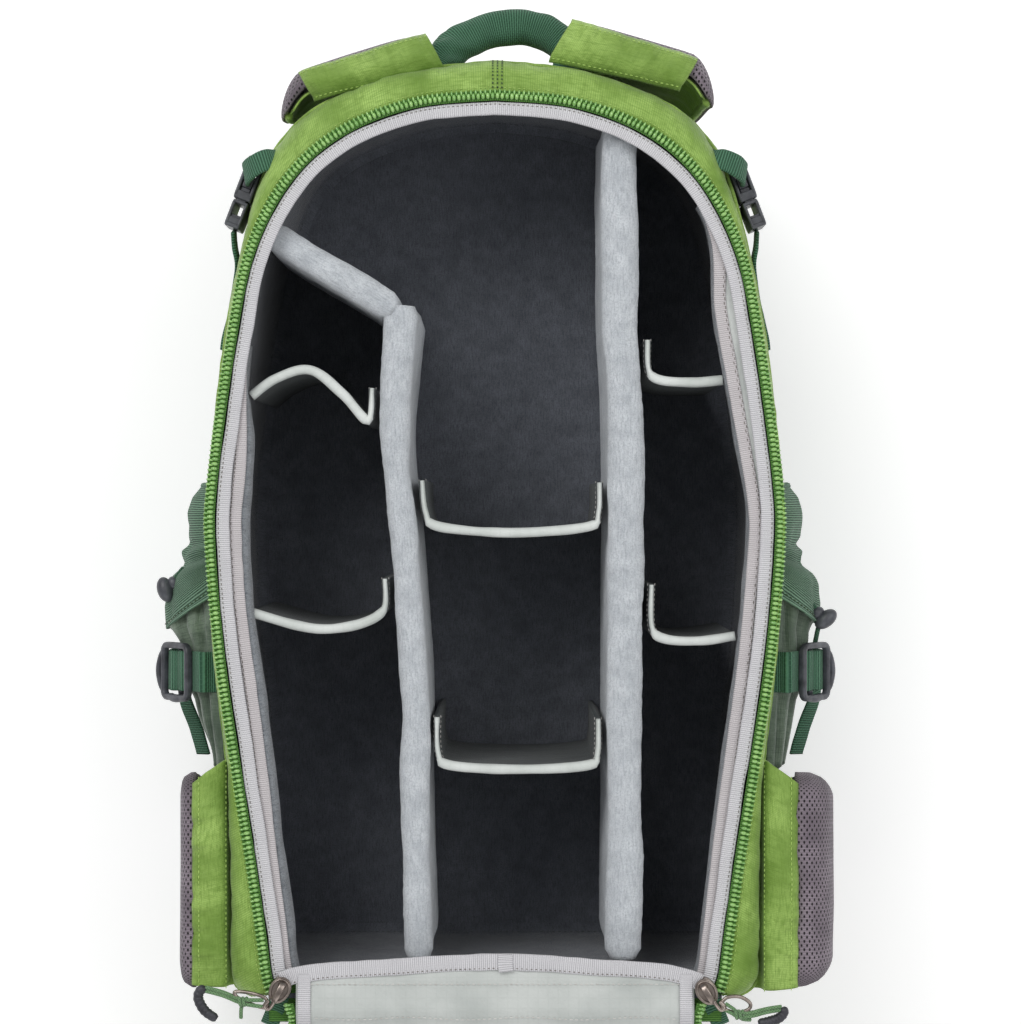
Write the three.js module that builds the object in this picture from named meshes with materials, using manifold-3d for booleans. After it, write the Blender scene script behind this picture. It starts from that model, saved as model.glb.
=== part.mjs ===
// A rear-access camera backpack, lying open on its front with its dividers in place and the padded
// rear panel folded down over its base. Millimetres, +Z up. +X is the bag's right as the opening is
// looked into, +Y runs from the base to the carry handle, and the bag's depth stands along Z: the
// front pocket rests on the ground and the main zip lies at REAR_Z. Drawn heights are measured from
// the base; the whole bag is then moved so that the origin is the middle of the front pocket's face.
import * as THREE from "three";
import { mergeVertices } from "three/addons/utils/BufferGeometryUtils.js";
import Module from "manifold-3d";

const wasm = await Module();
wasm.setup();

// Driving dimensions
const ORIGIN_HEIGHT = 170; // height of the origin above the base
const GAP = 0.3; // clearance between pieces that touch
const REAR_Z = 210; // plane of the main zip
const SEAM_Z = 190; // where the rear gusset is sewn to the side wall
const COMPARTMENT_Z = 61; // inner end of the camera compartment
const PARTITION_Z = 54; // front face of the padded partition
const LAPTOP_Z = 31; // front face of the laptop compartment
const WALL = 8; // padded side wall
const LINING = 2;
const SHELL = 3; // unpadded nylon walls, drawn thicker than the cloth
const TAPE_HALF = 3; // half the width of the zip chain and its tape
const BINDING_WIDTH = 6.7;
const BEYOND = 500; // larger than the bag, for a cutter that reaches right through it
const SIDES = { left: -1, right: 1 };

// Half widths and heights of the outer body and of the main zip, from the base to the top centre
const BODY_LINE = [
  [131.5, 22], [132, 60], [133.5, 112], [141, 171], [145.5, 227], [144.5, 261],
  [136, 331], [127, 375], [116, 406], [98, 432], [70, 454], [38, 466], [0, 470],
];
const BODY_CORNER = [[121, 4], [128, 7.5], [131, 14]];
const ZIP_LINE = [
  [113, 18], [115.8, 39], [121, 75], [126.6, 111], [135.5, 171], [140.5, 227], [139.5, 261],
  [130, 331], [120.5, 375], [102, 410], [76, 433], [40, 447], [0, 451],
];
const PANEL_LINE = [
  [96, 16], [99, 34], [107, 56], [115.5, 85], [120.5, 111], [128.5, 171], [133.5, 227], [132.5, 261],
  [123, 331], [113.5, 375], [95.5, 406], [71, 427], [37, 440.5], [0, 444],
];
const LINE_STEPS = 30;

// Materials
const material = (color, roughness, metalness = 0) =>
  new THREE.MeshStandardMaterial({ color, roughness, metalness });
const MATERIALS = {
  greenNylon: material(0x7ba33f, 0.75),
  oliveNylon: material(0x4a6348, 0.7),
  darkNylon: material(0x2f5a3e, 0.75),
  webbing: material(0x2f6b50, 0.8),
  airMesh: material(0x6f6468, 0.9),
  binding: material(0xc4c1c2, 0.85),
  lining: material(0x15181c, 0.95),
  paleLining: material(0xbfc8c2, 0.6),
  velour: material(0xa9b2ba, 1),
  dividerNylon: material(0x3c403c, 0.8),
  zipChain: material(0x4cb030, 0.4),
  cord: material(0x5e9a62, 0.8),
  gunmetal: material(0x7d726b, 0.35, 1),
  plastic: material(0x3a3a42, 0.5),
};

// Outlines
const curvePoints = (keys, steps = LINE_STEPS) =>
  new THREE.SplineCurve(keys.map(([x, y]) => new THREE.Vector2(x, y)))
    .getPoints(steps)
    .map(({ x, y }) => [x, y]);
const mirrorLine = (points) => points.slice(0, -1).reverse().map(([x, y]) => [-x, y]);
const archOf = (half) => [...half, ...mirrorLine(half)];
const bodyArch = archOf([...BODY_CORNER, ...curvePoints(BODY_LINE)]);
const zipArch = archOf(curvePoints(ZIP_LINE));
const panelArch = archOf(curvePoints(PANEL_LINE));

// The line moved sideways by distance, to the right of its own direction, with mitred corners.
function offsetLine(points, distance, closed) {
  const count = points.length;
  const normalOf = (i, j) => {
    const dx = points[j][0] - points[i][0];
    const dy = points[j][1] - points[i][1];
    const length = Math.hypot(dx, dy);
    return [dy / length, -dx / length];
  };
  return points.map(([x, y], i) => {
    const before = closed || i > 0 ? normalOf((i + count - 1) % count, i) : normalOf(0, 1);
    const after = closed || i < count - 1 ? normalOf(i, (i + 1) % count) : before;
    const scale = distance / (1 + before[0] * after[0] + before[1] * after[1]);
    return [x + (before[0] + after[0]) * scale, y + (before[1] + after[1]) * scale];
  });
}
const grow = (points, distance) => offsetLine(points, distance, true);
// A ribbon between two offsets of an open line.
const ribbon = (line, inner, outer) => [
  ...offsetLine(line, outer, false),
  ...offsetLine(line, inner, false).reverse(),
];
const oval = (x, y, width, height, sides = 16) =>
  Array.from({ length: sides }, (_, i) => {
    const angle = (2 * Math.PI * i) / sides;
    return [x + (width / 2) * Math.cos(angle), y + (height / 2) * Math.sin(angle)];
  });
// A rectangle with its corners cut off.
function plate([x0, x1], [y0, y1], cut = 0.01) {
  return [
    [x0 + cut, y0], [x1 - cut, y0], [x1, y0 + cut], [x1, y1 - cut],
    [x1 - cut, y1], [x0 + cut, y1], [x0, y1 - cut], [x0, y0 + cut],
  ];
}
const flip = (points, side) => points.map(([x, y]) => [x * side, y]);

// Solids
const shapeOf = (points) => new THREE.Shape(points.map(([x, y]) => new THREE.Vector2(x, y)));
const extrude = (points, depth) =>
  new THREE.ExtrudeGeometry(shapeOf(points), { depth, bevelEnabled: false });
// An outline in X and Y, from z0 to z1.
const slab = (points, z0, z1) => extrude(points, z1 - z0).translate(0, 0, z0);
// An outline in X and Z, from y0 to y1.
const bar = (points, y0, y1) => extrude(points, y1 - y0).rotateX(Math.PI / 2).translate(0, y1, 0);
// An outline in Y and Z, from x0 to x1.
const rail = (points, x0, x1) =>
  extrude(points, x1 - x0).rotateX(Math.PI / 2).rotateZ(Math.PI / 2).translate(x0, 0, 0);
const box = ([x0, x1], [y0, y1], [z0, z1]) =>
  new THREE.BoxGeometry(x1 - x0, y1 - y0, z1 - z0)
    .translate((x0 + x1) / 2, (y0 + y1) / 2, (z0 + z1) / 2);

function solidOf(geometry) {
  const bare = geometry.clone();
  bare.deleteAttribute("normal");
  bare.deleteAttribute("uv");
  const merged = mergeVertices(bare);
  return new wasm.Manifold(
    new wasm.Mesh({
      numProp: 3,
      vertProperties: new Float32Array(merged.attributes.position.array),
      triVerts: new Uint32Array(merged.index.array),
    }),
  );
}
function geometryOf(solid) {
  const { vertProperties, triVerts } = solid.getMesh();
  const geometry = new THREE.BufferGeometry();
  geometry.setAttribute("position", new THREE.BufferAttribute(new Float32Array(vertProperties), 3));
  geometry.setIndex(new THREE.BufferAttribute(new Uint32Array(triVerts), 1));
  return geometry;
}
const cutAway = (base, ...tools) =>
  geometryOf(tools.reduce((left, tool) => left.subtract(solidOf(tool)), solidOf(base)));
const joined = (base, ...others) =>
  geometryOf(others.reduce((sum, other) => sum.add(solidOf(other)), solidOf(base)));
const ring = (outer, inner, z0, z1) => cutAway(slab(outer, z0, z1), slab(inner, z0 - 1, z1 + 1));

const bag = new THREE.Group();
bag.position.y = -ORIGIN_HEIGHT;
function addMesh(name, geometry, look, parent = bag) {
  const mesh = new THREE.Mesh(geometry, MATERIALS[look]);
  mesh.name = name;
  parent.add(mesh);
  return mesh;
}

// Body: base, padded walls, compartments and pocket, from the ground up
const BASE_PANEL = { half: 120, thick: 3.7, z: [36, 184] };
const LAPTOP_MOUTH = { half: 34, z: [37, 49] };
const POCKET = { half: 105, low: 12, high: 330, corner: 18, lip: 4, opening: 340 };
const bodyBlock = slab(grow(bodyArch, GAP), 0, REAR_Z);
function addBody() {
  const { half, thick, z } = BASE_PANEL;
  addMesh("base_panel", box([-half, half], [0, thick], z), "darkNylon");
  const inside = grow(bodyArch, -WALL);
  addMesh("side_wall", ring(bodyArch, inside, COMPARTMENT_Z, SEAM_Z - GAP), "greenNylon");
  const liningOutside = grow(bodyArch, -WALL - GAP);
  const lining = cutAway(
    slab(liningOutside, COMPARTMENT_Z, SEAM_Z - GAP),
    slab(grow(liningOutside, -LINING), COMPARTMENT_Z + LINING, SEAM_Z),
  );
  addMesh("lining", lining, "lining");
  addMesh("padded_partition", slab(bodyArch, PARTITION_Z, COMPARTMENT_Z - GAP), "darkNylon");
}
function addLaptopCompartment() {
  const top = PARTITION_Z - GAP;
  const { half, z } = LAPTOP_MOUTH;
  const shell = cutAway(
    slab(bodyArch, LAPTOP_Z, top),
    slab(grow(bodyArch, -SHELL), LAPTOP_Z + SHELL, PARTITION_Z),
    box([-half, half], [HANDLE_FOOT.low, BEYOND], z),
  );
  addMesh("laptop_compartment", shell, "darkNylon");
}
function addFrontPocket() {
  const { half, low, high, corner, lip, opening } = POCKET;
  const top = LAPTOP_Z - GAP;
  const outer = slab(plate([-half, half], [low, high], corner), 0, top);
  const hollow = box([lip - half, half - lip], [low + lip, opening], [SHELL, top - SHELL]);
  addMesh("front_pocket", cutAway(outer, hollow), "darkNylon");
}

// The bright rear gusset, the zip on its inner edge and the grosgrain binding inside the zip
const TAPE_Z = [REAR_Z - 1.5, REAR_Z + 1];
const BINDING_Z = [REAR_Z - 4, REAR_Z - 1.8];
const HINGE_STRIP = { half: 98, heights: [1, 15], z: [REAR_Z + GAP, REAR_Z + 1.9] };
function addRearFrame() {
  const hole = grow(zipArch, TAPE_HALF + GAP);
  addMesh("rear_gusset", ring(bodyArch, hole, SEAM_Z, REAR_Z), "greenNylon");
  const tape = ribbon(zipArch, -TAPE_HALF, TAPE_HALF);
  addMesh("main_zipper", slab(tape, ...TAPE_Z), "zipChain");
  const bindingOuter = -TAPE_HALF - GAP;
  const binding = ribbon(zipArch, bindingOuter - BINDING_WIDTH, bindingOuter);
  addMesh("opening_binding", slab(binding, ...BINDING_Z), "binding");
  const { half, heights, z } = HINGE_STRIP;
  addMesh("hinge_strip", slab(plate([-half, half], heights), ...z), "paleLining");
}

// Padded rear panel, drawn closed over the opening in its own frame and laid open about its hinge
// until its far end rests on the ground
const PANEL_HINGE_Z = REAR_Z + 2.5;
const PANEL_THICK = 20;
const PANEL_BOARD = 12.3; // lining, foam and zip edge
const PANEL_LENGTH = PANEL_LINE.at(-1)[1];
const PANEL_TAPE = { offsets: [GAP, 3.4], z: [0.5, 3] };
const BACK_PAD_MARGIN = 12;
const panelLean =
  Math.asin((PANEL_HINGE_Z - GAP) / Math.hypot(PANEL_LENGTH, PANEL_THICK)) -
  Math.atan2(PANEL_THICK, PANEL_LENGTH);
function addRearPanel() {
  const panel = new THREE.Group();
  panel.position.z = PANEL_HINGE_Z;
  panel.rotation.x = Math.PI + panelLean;
  bag.add(panel);
  addMesh("rear_panel", slab(panelArch, 0, PANEL_BOARD), "paleLining", panel);
  const tape = slab(ribbon(panelArch, ...PANEL_TAPE.offsets), ...PANEL_TAPE.z);
  addMesh("panel_zipper", tape, "zipChain", panel);
  const pad = slab(grow(panelArch, -BACK_PAD_MARGIN), PANEL_BOARD + GAP, PANEL_THICK);
  addMesh("back_pad", pad, "airMesh", panel);
}

// Dividers: long ones from the base to the top, and thin ones across the three lanes between them
const DIVIDER_Z = [COMPARTMENT_Z + LINING + GAP, 200];
const DIVIDERS = {
  divider_right: { half: 9, line: [[62, 439], [62, 350], [65, 260], [64, 25]] },
  divider_left: {
    half: 7,
    line: [[-47, 341], [-50, 285], [-45, 227], [-40, 150], [-40, 103], [-38, 25]],
  },
  divider_diagonal: { half: 7, line: [[-110, 383], [-55.2, 348.5]] },
};
const CROSS_HALF = 2.4;
const CROSS_TOP = 197;
// Each ends short of the binding, so that it lifts out
const CROSS_DIVIDERS = {
  cross_left_upper: [[-122, 303], [-109, 312], [-92, 316], [-76, 304], [-60.5, 289]],
  cross_left_lower: [[-126, 196], [-100, 189], [-84, 187], [-66, 190], [-53.5, 196]],
  cross_centre_upper: [[-35, 245], [-29, 238], [8, 235], [46, 238], [52, 245]],
  cross_centre_lower: [[-29.5, 125], [-23, 119], [11, 117], [46, 119], [51.8, 125]],
  cross_right_upper: [[76, 315], [82, 311], [100, 310], [114, 311], [120.5, 314]],
  cross_right_lower: [[77.5, 187], [84, 182], [102, 181], [118, 183], [124.8, 186.8]],
};
function addDividers() {
  const [low, high] = DIVIDER_Z;
  for (const [name, { half, line }] of Object.entries(DIVIDERS)) {
    const points = line.length > 2 ? curvePoints(line, 12) : line;
    addMesh(name, slab(ribbon(points, -half, half), low, high), "velour");
  }
  for (const [name, line] of Object.entries(CROSS_DIVIDERS)) {
    const sheet = ribbon(curvePoints(line, 10), -CROSS_HALF, CROSS_HALF);
    addMesh(name, slab(sheet, low, CROSS_TOP), "dividerNylon");
  }
}

// Top end: carry handle, and the laptop zip with its slider and pull
const HANDLE_LINE = [[-27, 475], [-18, 485], [1, 493], [17, 487], [24, 475]];
const HANDLE_FOOT = { low: 440, high: 475 }; // the handle leaves the bag above this height
const HANDLE_HALF = 6.5;
const HANDLE_Z = [155, 177];
const LAPTOP_ZIP = { half: 38, offsets: [GAP, 1.8], z: [32, 53], slotHalf: 29, slotZ: [40, 46] };
const LAPTOP_SLIDER = { half: 5, heights: [472.4, 477], z: [38, 48] };
const LAPTOP_PULL = { half: 3, heights: [477.3, 479], z: [18, 44], corner: 0.6 };
function addHandle() {
  const strip = slab(ribbon(curvePoints(HANDLE_LINE, 14), -HANDLE_HALF, HANDLE_HALF), ...HANDLE_Z);
  const foot = box([-BEYOND, BEYOND], [HANDLE_FOOT.low, HANDLE_FOOT.high], [0, REAR_Z]);
  addMesh("carry_handle", cutAway(strip, foot), "webbing");
}
function addLaptopZip() {
  const { half, offsets, z, slotHalf, slotZ } = LAPTOP_ZIP;
  const top = bodyArch.filter(([x, y]) => Math.abs(x) < half && y > HANDLE_FOOT.low);
  const zipBand = cutAway(
    slab(ribbon(top, ...offsets), ...z),
    box([-slotHalf, slotHalf], [HANDLE_FOOT.low, BEYOND], slotZ),
  );
  addMesh("laptop_zipper", zipBand, "zipChain");
  const slider = LAPTOP_SLIDER;
  const sliderBox = box([-slider.half, slider.half], slider.heights, slider.z);
  addMesh("laptop_zip_slider", sliderBox, "gunmetal");
  const pull = LAPTOP_PULL;
  const pullPlate = plate([-pull.half, pull.half], pull.heights, pull.corner);
  addMesh("laptop_zip_pull", slab(pullPlate, ...pull.z), "cord");
}

// Shoulder straps: sewn to the seam on a slant, down the top end and turned in under the bag
const STRAP_SLANT = THREE.MathUtils.degToRad(17);
const STRAP_HINGE = [68, 458.6, 200];
const STRAP_HALF = 38;
const STRAP_THICK = 12;
const STRAP_ROOT_END = 120;
const STRAP_TUCK = 50; // how far the pad reaches in under the bag
const STRAP_UNDERSIDE = 8;
const ADJUSTER = { half: 13, length: 21.7, z: [11, 15], slotHalf: 10, slots: [3.7, 12.7], slotLength: 6 };
const STRAP_ROUTE = [[48, 374], [88, 356], [117, 322], [119, 60]];
const STRAP_WEBBING = { half: 10, z: [LAPTOP_Z - 4, LAPTOP_Z - 2] };
function addShoulderStrap(name, side) {
  const [x, y, top] = STRAP_HINGE;
  const strap = new THREE.Group();
  strap.position.set(side * x, y, 0);
  strap.rotation.z = -side * STRAP_SLANT;
  bag.add(strap);
  const root = rail(
    [[0, STRAP_ROOT_END], [9, STRAP_ROOT_END], [13, 150], [12, 188], [6, top], [0, top]],
    -STRAP_HALF, STRAP_HALF,
  );
  addMesh("strap_root_" + name, root, "greenNylon", strap);
  const padTop = STRAP_ROOT_END - GAP;
  const padInside = STRAP_UNDERSIDE + STRAP_THICK;
  const pad = rail(
    [
      [0, padTop], [0, 30], [-8, padInside], [-STRAP_TUCK, padInside],
      [-STRAP_TUCK, STRAP_UNDERSIDE], [2, STRAP_UNDERSIDE], [STRAP_THICK, 22], [STRAP_THICK, padTop],
    ],
    -STRAP_HALF, STRAP_HALF,
  );
  addMesh("shoulder_pad_" + name, pad, "airMesh", strap);
  const { half, length, z, slotHalf, slots, slotLength } = ADJUSTER;
  const near = -STRAP_TUCK - GAP;
  const slotCuts = slots.map((from) =>
    box([-slotHalf, slotHalf], [near - from - slotLength, near - from], [0, REAR_Z]),
  );
  const frame = cutAway(box([-half, half], [near - length, near], z), ...slotCuts);
  addMesh("strap_adjuster_" + name, frame, "plastic", strap);
}
function addStrapWebbing(name, side) {
  const { half, z } = STRAP_WEBBING;
  const band = ribbon(flip(curvePoints(STRAP_ROUTE, 14), side), -half, half);
  addMesh("strap_webbing_" + name, slab(band, ...z), "webbing");
}

// Hip belt: padded wings folded round the sides, each with one half of the buckle on its end
const WING_PROFILE = [
  [134.6, 200], [146, 200], [160, 192], [170, 172], [172, 100], [172, 60], [166, 52],
  [160, 60], [158, 165], [148, 182], [134.6, 187],
];
const WING_HEIGHTS = [14, 113];
const HIP_BUCKLE = { across: [161, 169], z: [8, 51.7], corner: 2, heights: [48, 80] };
const HIP_SLOT = { heights: [53, 75], z: [38, 44] }; // the webbing goes through it
const HIP_THROAT = { across: [163, 167], heights: [52, 76], z: [0, 30] }; // the prongs go into it
function addHipWing(name, side) {
  addMesh("hip_wing_" + name, bar(flip(WING_PROFILE, side), ...WING_HEIGHTS), "airMesh");
}
function addHipBuckle() {
  const { across, z, corner, heights } = HIP_BUCKLE;
  const slot = box([-BEYOND, BEYOND], HIP_SLOT.heights, HIP_SLOT.z);
  const half = (side) => cutAway(bar(flip(plate(across, z, corner), side), ...heights), slot);
  const throat = box(HIP_THROAT.across, HIP_THROAT.heights, HIP_THROAT.z);
  addMesh("hip_buckle_plug", half(SIDES.left), "plastic");
  addMesh("hip_buckle_socket", cutAway(half(SIDES.right), throat), "plastic");
}

// Side pockets, with the strap, ladder lock and cord toggle on each. The line runs from the rear
// seam outwards and round to the front, so a positive offset is inwards
const POCKET_LINE = [
  [136, 187], [150, 181], [167, 159], [172, 145], [172, 80], [160, 58], [136, 52],
];
const POCKET_HEIGHTS = [118, 255];
const LOWER_STRAP = { offsets: [-1.9, -GAP], heights: [153, 173] };
function addSidePocket(name, side) {
  const [low, high] = POCKET_HEIGHTS;
  const outer = bar(flip(POCKET_LINE, side), low, high);
  const hollow = bar(flip(grow(POCKET_LINE, SHELL), side), low + SHELL, BEYOND);
  addMesh("side_pocket_" + name, cutAway(outer, hollow, bodyBlock), "oliveNylon");
  const { offsets, heights } = LOWER_STRAP;
  const band = bar(flip(ribbon(POCKET_LINE, ...offsets), side), ...heights);
  addMesh("lower_strap_" + name, cutAway(band, bodyBlock), "webbing");
}
const LOCK = { axis: [151.7, 182.3], heights: [150, 179], length: 27, thick: 4, rail: 4 };
const LOCK_SLOTS = [[5, 10], [16, 21]];
const LOCK_ALONG = [0.611, -0.791];
const LOCK_OUT = [0.791, 0.611];
function addLadderLock(name, side) {
  const point = (u, v) => LOCK.axis.map((at, i) => at + LOCK_ALONG[i] * u + LOCK_OUT[i] * v);
  const [low, high] = LOCK.heights;
  const strip = (u0, u1, v0, v1) =>
    flip([point(u0, v0), point(u1, v0), point(u1, v1), point(u0, v1)], side);
  const slots = LOCK_SLOTS.map(([from, to]) =>
    bar(strip(from, to, -1, LOCK.thick + 1), low + LOCK.rail, high - LOCK.rail),
  );
  const lock = cutAway(bar(strip(0, LOCK.length, 0, LOCK.thick), low, high), ...slots);
  addMesh("ladder_lock_" + name, lock, "plastic");
}
const TOGGLE = { x: 167, width: 8, length: 13, z: [168, 176] };
const TOGGLE_HEIGHTS = { left: 206, right: 191 };
function addToggle(name, side) {
  const outline = oval(side * TOGGLE.x, TOGGLE_HEIGHTS[name], TOGGLE.width, TOGGLE.length);
  addMesh("cuff_toggle_" + name, slab(outline, ...TOGGLE.z), "plastic");
}

// Side-release buckles on the shoulders of the bag, in a frame (u outwards, v towards the top)
// along the sloping wall
const BUCKLE_AT = [121, 395];
const BUCKLE_TURN = THREE.MathUtils.degToRad(21);
const BUCKLE_U = [3.5, 12.5];
const BUCKLE_Z = [165, 190];
const BUCKLE_CORNER = 1.5;
const SOCKET_V = [GAP, 23];
const PLUG_V = [-17, 0];
const PRONGS = { u: [6, 10], v: [-2, 13], z: [[169, 173], [182, 186]] };
const SIDE_STRAP = { line: [[138.2, 333], [134.6, 352], [130.6, 370]], half: 0.8, z: [170, 185] };
function addSideBuckle(name, side) {
  const turned = (points) =>
    points.map(([u, v]) => [
      side * (BUCKLE_AT[0] + u * Math.cos(BUCKLE_TURN) - v * Math.sin(BUCKLE_TURN)),
      BUCKLE_AT[1] + u * Math.sin(BUCKLE_TURN) + v * Math.cos(BUCKLE_TURN),
    ]);
  const piece = (us, vs, zs, cut = 0.01) => slab(turned(plate(us, vs, cut)), ...zs);
  const webbingSlot = (v) => piece([0, 15], v, [169, 186]);
  const throat = piece([5.5, 10.5], [-1, 15], [168, 187]);
  const shell = piece(BUCKLE_U, SOCKET_V, BUCKLE_Z, BUCKLE_CORNER);
  addMesh("buckle_socket_" + name, cutAway(shell, throat, webbingSlot([18, 20.5])), "plastic");
  const prongs = PRONGS.z.map((z) => piece(PRONGS.u, PRONGS.v, z));
  const plug = joined(piece(BUCKLE_U, PLUG_V, BUCKLE_Z, BUCKLE_CORNER), ...prongs);
  addMesh("buckle_plug_" + name, cutAway(plug, webbingSlot([-14, -10.5])), "plastic");
  const { line, half, z } = SIDE_STRAP;
  const strap = ribbon(flip(curvePoints(line, 4), side), -half, half);
  addMesh("side_strap_" + name, slab(strap, ...z), "webbing");
}

// Main zip sliders parked at the base corners, each with its ring, cord and moulded grip
const SLIDER_AT = [107.5, 8];
const SLIDER_Z = [REAR_Z + 2.2, REAR_Z + 7];
const PULL_RING = { at: [119, 5], outer: [10, 9], inner: [6.5, 5.5], z: [213.2, 214.8] };
const PULL_CORD = [[124.2, 5, 214], [127, 4.6, 213.8], [130, 4.4, 213.2], [133, 4.6, 212.4]];
const CORD_WIDTH = 3;
const GRIP_LINE = [[134, 9], [141, 4], [149, 3], [157, 6]];
const GRIP_HALF = 3;
const GRIP_Z = [207.5, 212.5];
const GRIP_START = 133.4;
function addMainSlider(name, side) {
  const [x, y] = SLIDER_AT;
  const outline = [
    [x - 4, y - 7], [x + 4, y - 7], [x + 6, y - 2], [x + 6, y + 3], [x + 3, y + 7],
    [x - 3, y + 7], [x - 6, y + 3], [x - 6, y - 2],
  ];
  addMesh("main_slider_" + name, slab(flip(outline, side), ...SLIDER_Z), "gunmetal");
  const [ringX, ringY] = PULL_RING.at;
  const ringOval = (size) => oval(side * ringX, ringY, ...size);
  const pullRing = ring(ringOval(PULL_RING.outer), ringOval(PULL_RING.inner), ...PULL_RING.z);
  addMesh("pull_ring_" + name, pullRing, "gunmetal");
  const path = new THREE.CatmullRomCurve3(
    PULL_CORD.map((p) => new THREE.Vector3(p[0] * side, p[1], p[2])),
  );
  const section = shapeOf(oval(0, 0, CORD_WIDTH, CORD_WIDTH, 8));
  const cord = new THREE.ExtrudeGeometry(section, { steps: 4, extrudePath: path });
  addMesh("pull_cord_" + name, cord, "cord");
  const line = flip(curvePoints(GRIP_LINE, 8), side);
  const grip = slab(ribbon(line, -GRIP_HALF, GRIP_HALF), ...GRIP_Z);
  const start = box([-GRIP_START, GRIP_START], [-BEYOND, BEYOND], [0, BEYOND]);
  addMesh("pull_grip_" + name, cutAway(grip, start), "plastic");
}

addBody();
addLaptopCompartment();
addFrontPocket();
addRearFrame();
addRearPanel();
addDividers();
addHandle();
addLaptopZip();
addHipBuckle();
for (const [name, side] of Object.entries(SIDES)) {
  addShoulderStrap(name, side);
  addStrapWebbing(name, side);
  addHipWing(name, side);
  addSidePocket(name, side);
  addLadderLock(name, side);
  addToggle(name, side);
  addSideBuckle(name, side);
  addMainSlider(name, side);
}

export default bag;
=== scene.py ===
"""The looks of an open camera backpack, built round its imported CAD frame.

Drawn in bag millimetres, as the CAD is: x to the bag's right, h up from the base to the handle, z out
of the opening, with the ground at z 0. world() turns them into the frame's metres. Most pieces are
surfaces over rows of points (grid) or a section carried along a line (sweep); small ones that repeat
are scattered copies (scatter). UVs are in millimetres, so every weave has its true size. Names take
"left" and "right" as the photograph shows them, and side is -1 or 1 to match.
"""
import itertools
import math

import bmesh
import bpy
import numpy as np
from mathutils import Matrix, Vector

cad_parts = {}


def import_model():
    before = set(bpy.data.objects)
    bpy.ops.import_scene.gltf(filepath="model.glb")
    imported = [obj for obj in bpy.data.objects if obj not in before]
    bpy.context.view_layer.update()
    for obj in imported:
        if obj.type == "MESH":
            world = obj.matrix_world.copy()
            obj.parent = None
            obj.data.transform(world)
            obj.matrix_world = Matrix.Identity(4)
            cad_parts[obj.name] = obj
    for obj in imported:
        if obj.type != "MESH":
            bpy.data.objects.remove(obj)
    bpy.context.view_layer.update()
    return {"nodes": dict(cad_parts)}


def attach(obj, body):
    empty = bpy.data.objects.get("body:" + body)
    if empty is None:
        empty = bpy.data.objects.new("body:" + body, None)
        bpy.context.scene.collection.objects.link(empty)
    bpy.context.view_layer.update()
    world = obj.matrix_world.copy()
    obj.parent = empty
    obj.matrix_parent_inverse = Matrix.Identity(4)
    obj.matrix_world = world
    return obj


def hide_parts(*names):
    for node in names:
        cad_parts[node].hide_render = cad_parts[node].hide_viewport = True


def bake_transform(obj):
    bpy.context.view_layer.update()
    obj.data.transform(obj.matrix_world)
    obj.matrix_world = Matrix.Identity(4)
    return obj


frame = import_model()

# Frame and driving sizes, in bag millimetres
ORIGIN_HEIGHT = 170
REAR_Z = 210
SEAM_Z = 190
FLOOR_Z = 63.5
SIDES = {"left": -1, "right": 1}
ARCH_COUNT = 480
BASE_COUNT = 90
TOOTH_PITCH = 2.37
UP = (0, 0, 1)
FAR = 999  # added to a distance, leaves a point out of a search for the nearest one

# Half widths and heights, from the base to the top centre
BODY_LINE = [
    (121, 4), (128, 7.5), (131, 14), (131.5, 24), (131.8, 60), (133, 112), (139.5, 171), (143, 227),
    (142.3, 261), (134.6, 331), (126, 375), (118.5, 404), (109, 427), (92, 445), (68, 457), (38, 466),
    (0, 470),
]
ZIP_LINE = [
    (110.6, 9.5), (113, 18), (115.8, 39), (121, 75), (126.6, 111), (135.5, 171), (140.5, 227),
    (139.5, 261), (130, 331), (120.5, 375), (102, 410), (76, 433), (40, 447), (0, 451),
]
PANEL_LINE = [
    (96, 16), (99, 34), (107, 56), (115.5, 85), (120.5, 111), (128.5, 171), (133.5, 227),
    (132.5, 261), (123, 331), (113.5, 375), (95.5, 406), (71, 427), (37, 440.5), (0, 444),
]


# ---------------------------------------------------------------------------------------------------
# Lines and points
# ---------------------------------------------------------------------------------------------------
def world(points):
    """Bag millimetres (x, h, z) as metres in the frame."""
    return (np.asarray(points, float) - [0, ORIGIN_HEIGHT, 0]) / 1000


def unit(vectors):
    length = np.linalg.norm(vectors, axis=-1, keepdims=True)
    return vectors / np.maximum(length, 1e-9)


def arc(line):
    """The length along a line at each of its points."""
    return np.concatenate([[0], np.cumsum(np.linalg.norm(np.diff(line, axis=0), axis=1))])


def resample(line, count):
    line = np.asarray(line, float)
    along = arc(line)
    at = np.linspace(0, along[-1], count)
    return np.column_stack([np.interp(at, along, column) for column in line.T])


def spline(keys, count=40):
    """A smooth line through its keys, as count points evenly spaced along it."""
    keys = np.asarray(keys, float)
    held = np.vstack([keys[:1], keys, keys[-1:]])
    t = np.linspace(0, 1, 16, endpoint=False)[:, None]
    parts = [
        0.5 * (2 * b + (c - a) * t + (2 * a - 5 * b + 4 * c - d) * t**2 + (3 * b - a - 3 * c + d) * t**3)
        for a, b, c, d in zip(held, held[1:], held[2:], held[3:])
    ]
    return resample(np.vstack(parts + [keys[-1:]]), count)


def closed(line):
    """A line carried on to its own first point."""
    return np.vstack([line, line[:1]])


def arch(half, count=ARCH_COUNT):
    """A half line and its mirror image, from the right end of the base over the top to the left end."""
    right = spline(half, 200)
    return resample(np.vstack([right, (right * [-1, 1])[-2::-1]]), count)


def outward(line):
    """Unit vectors to the right of a flat line's direction, which is out of the bag on an arch."""
    step = np.gradient(np.asarray(line, float), axis=0)
    return unit(np.column_stack([step[:, 1], -step[:, 0]]))


def shifted(line, distance):
    return line + outward(line) * np.asarray(distance, float).reshape(-1, 1)


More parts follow.
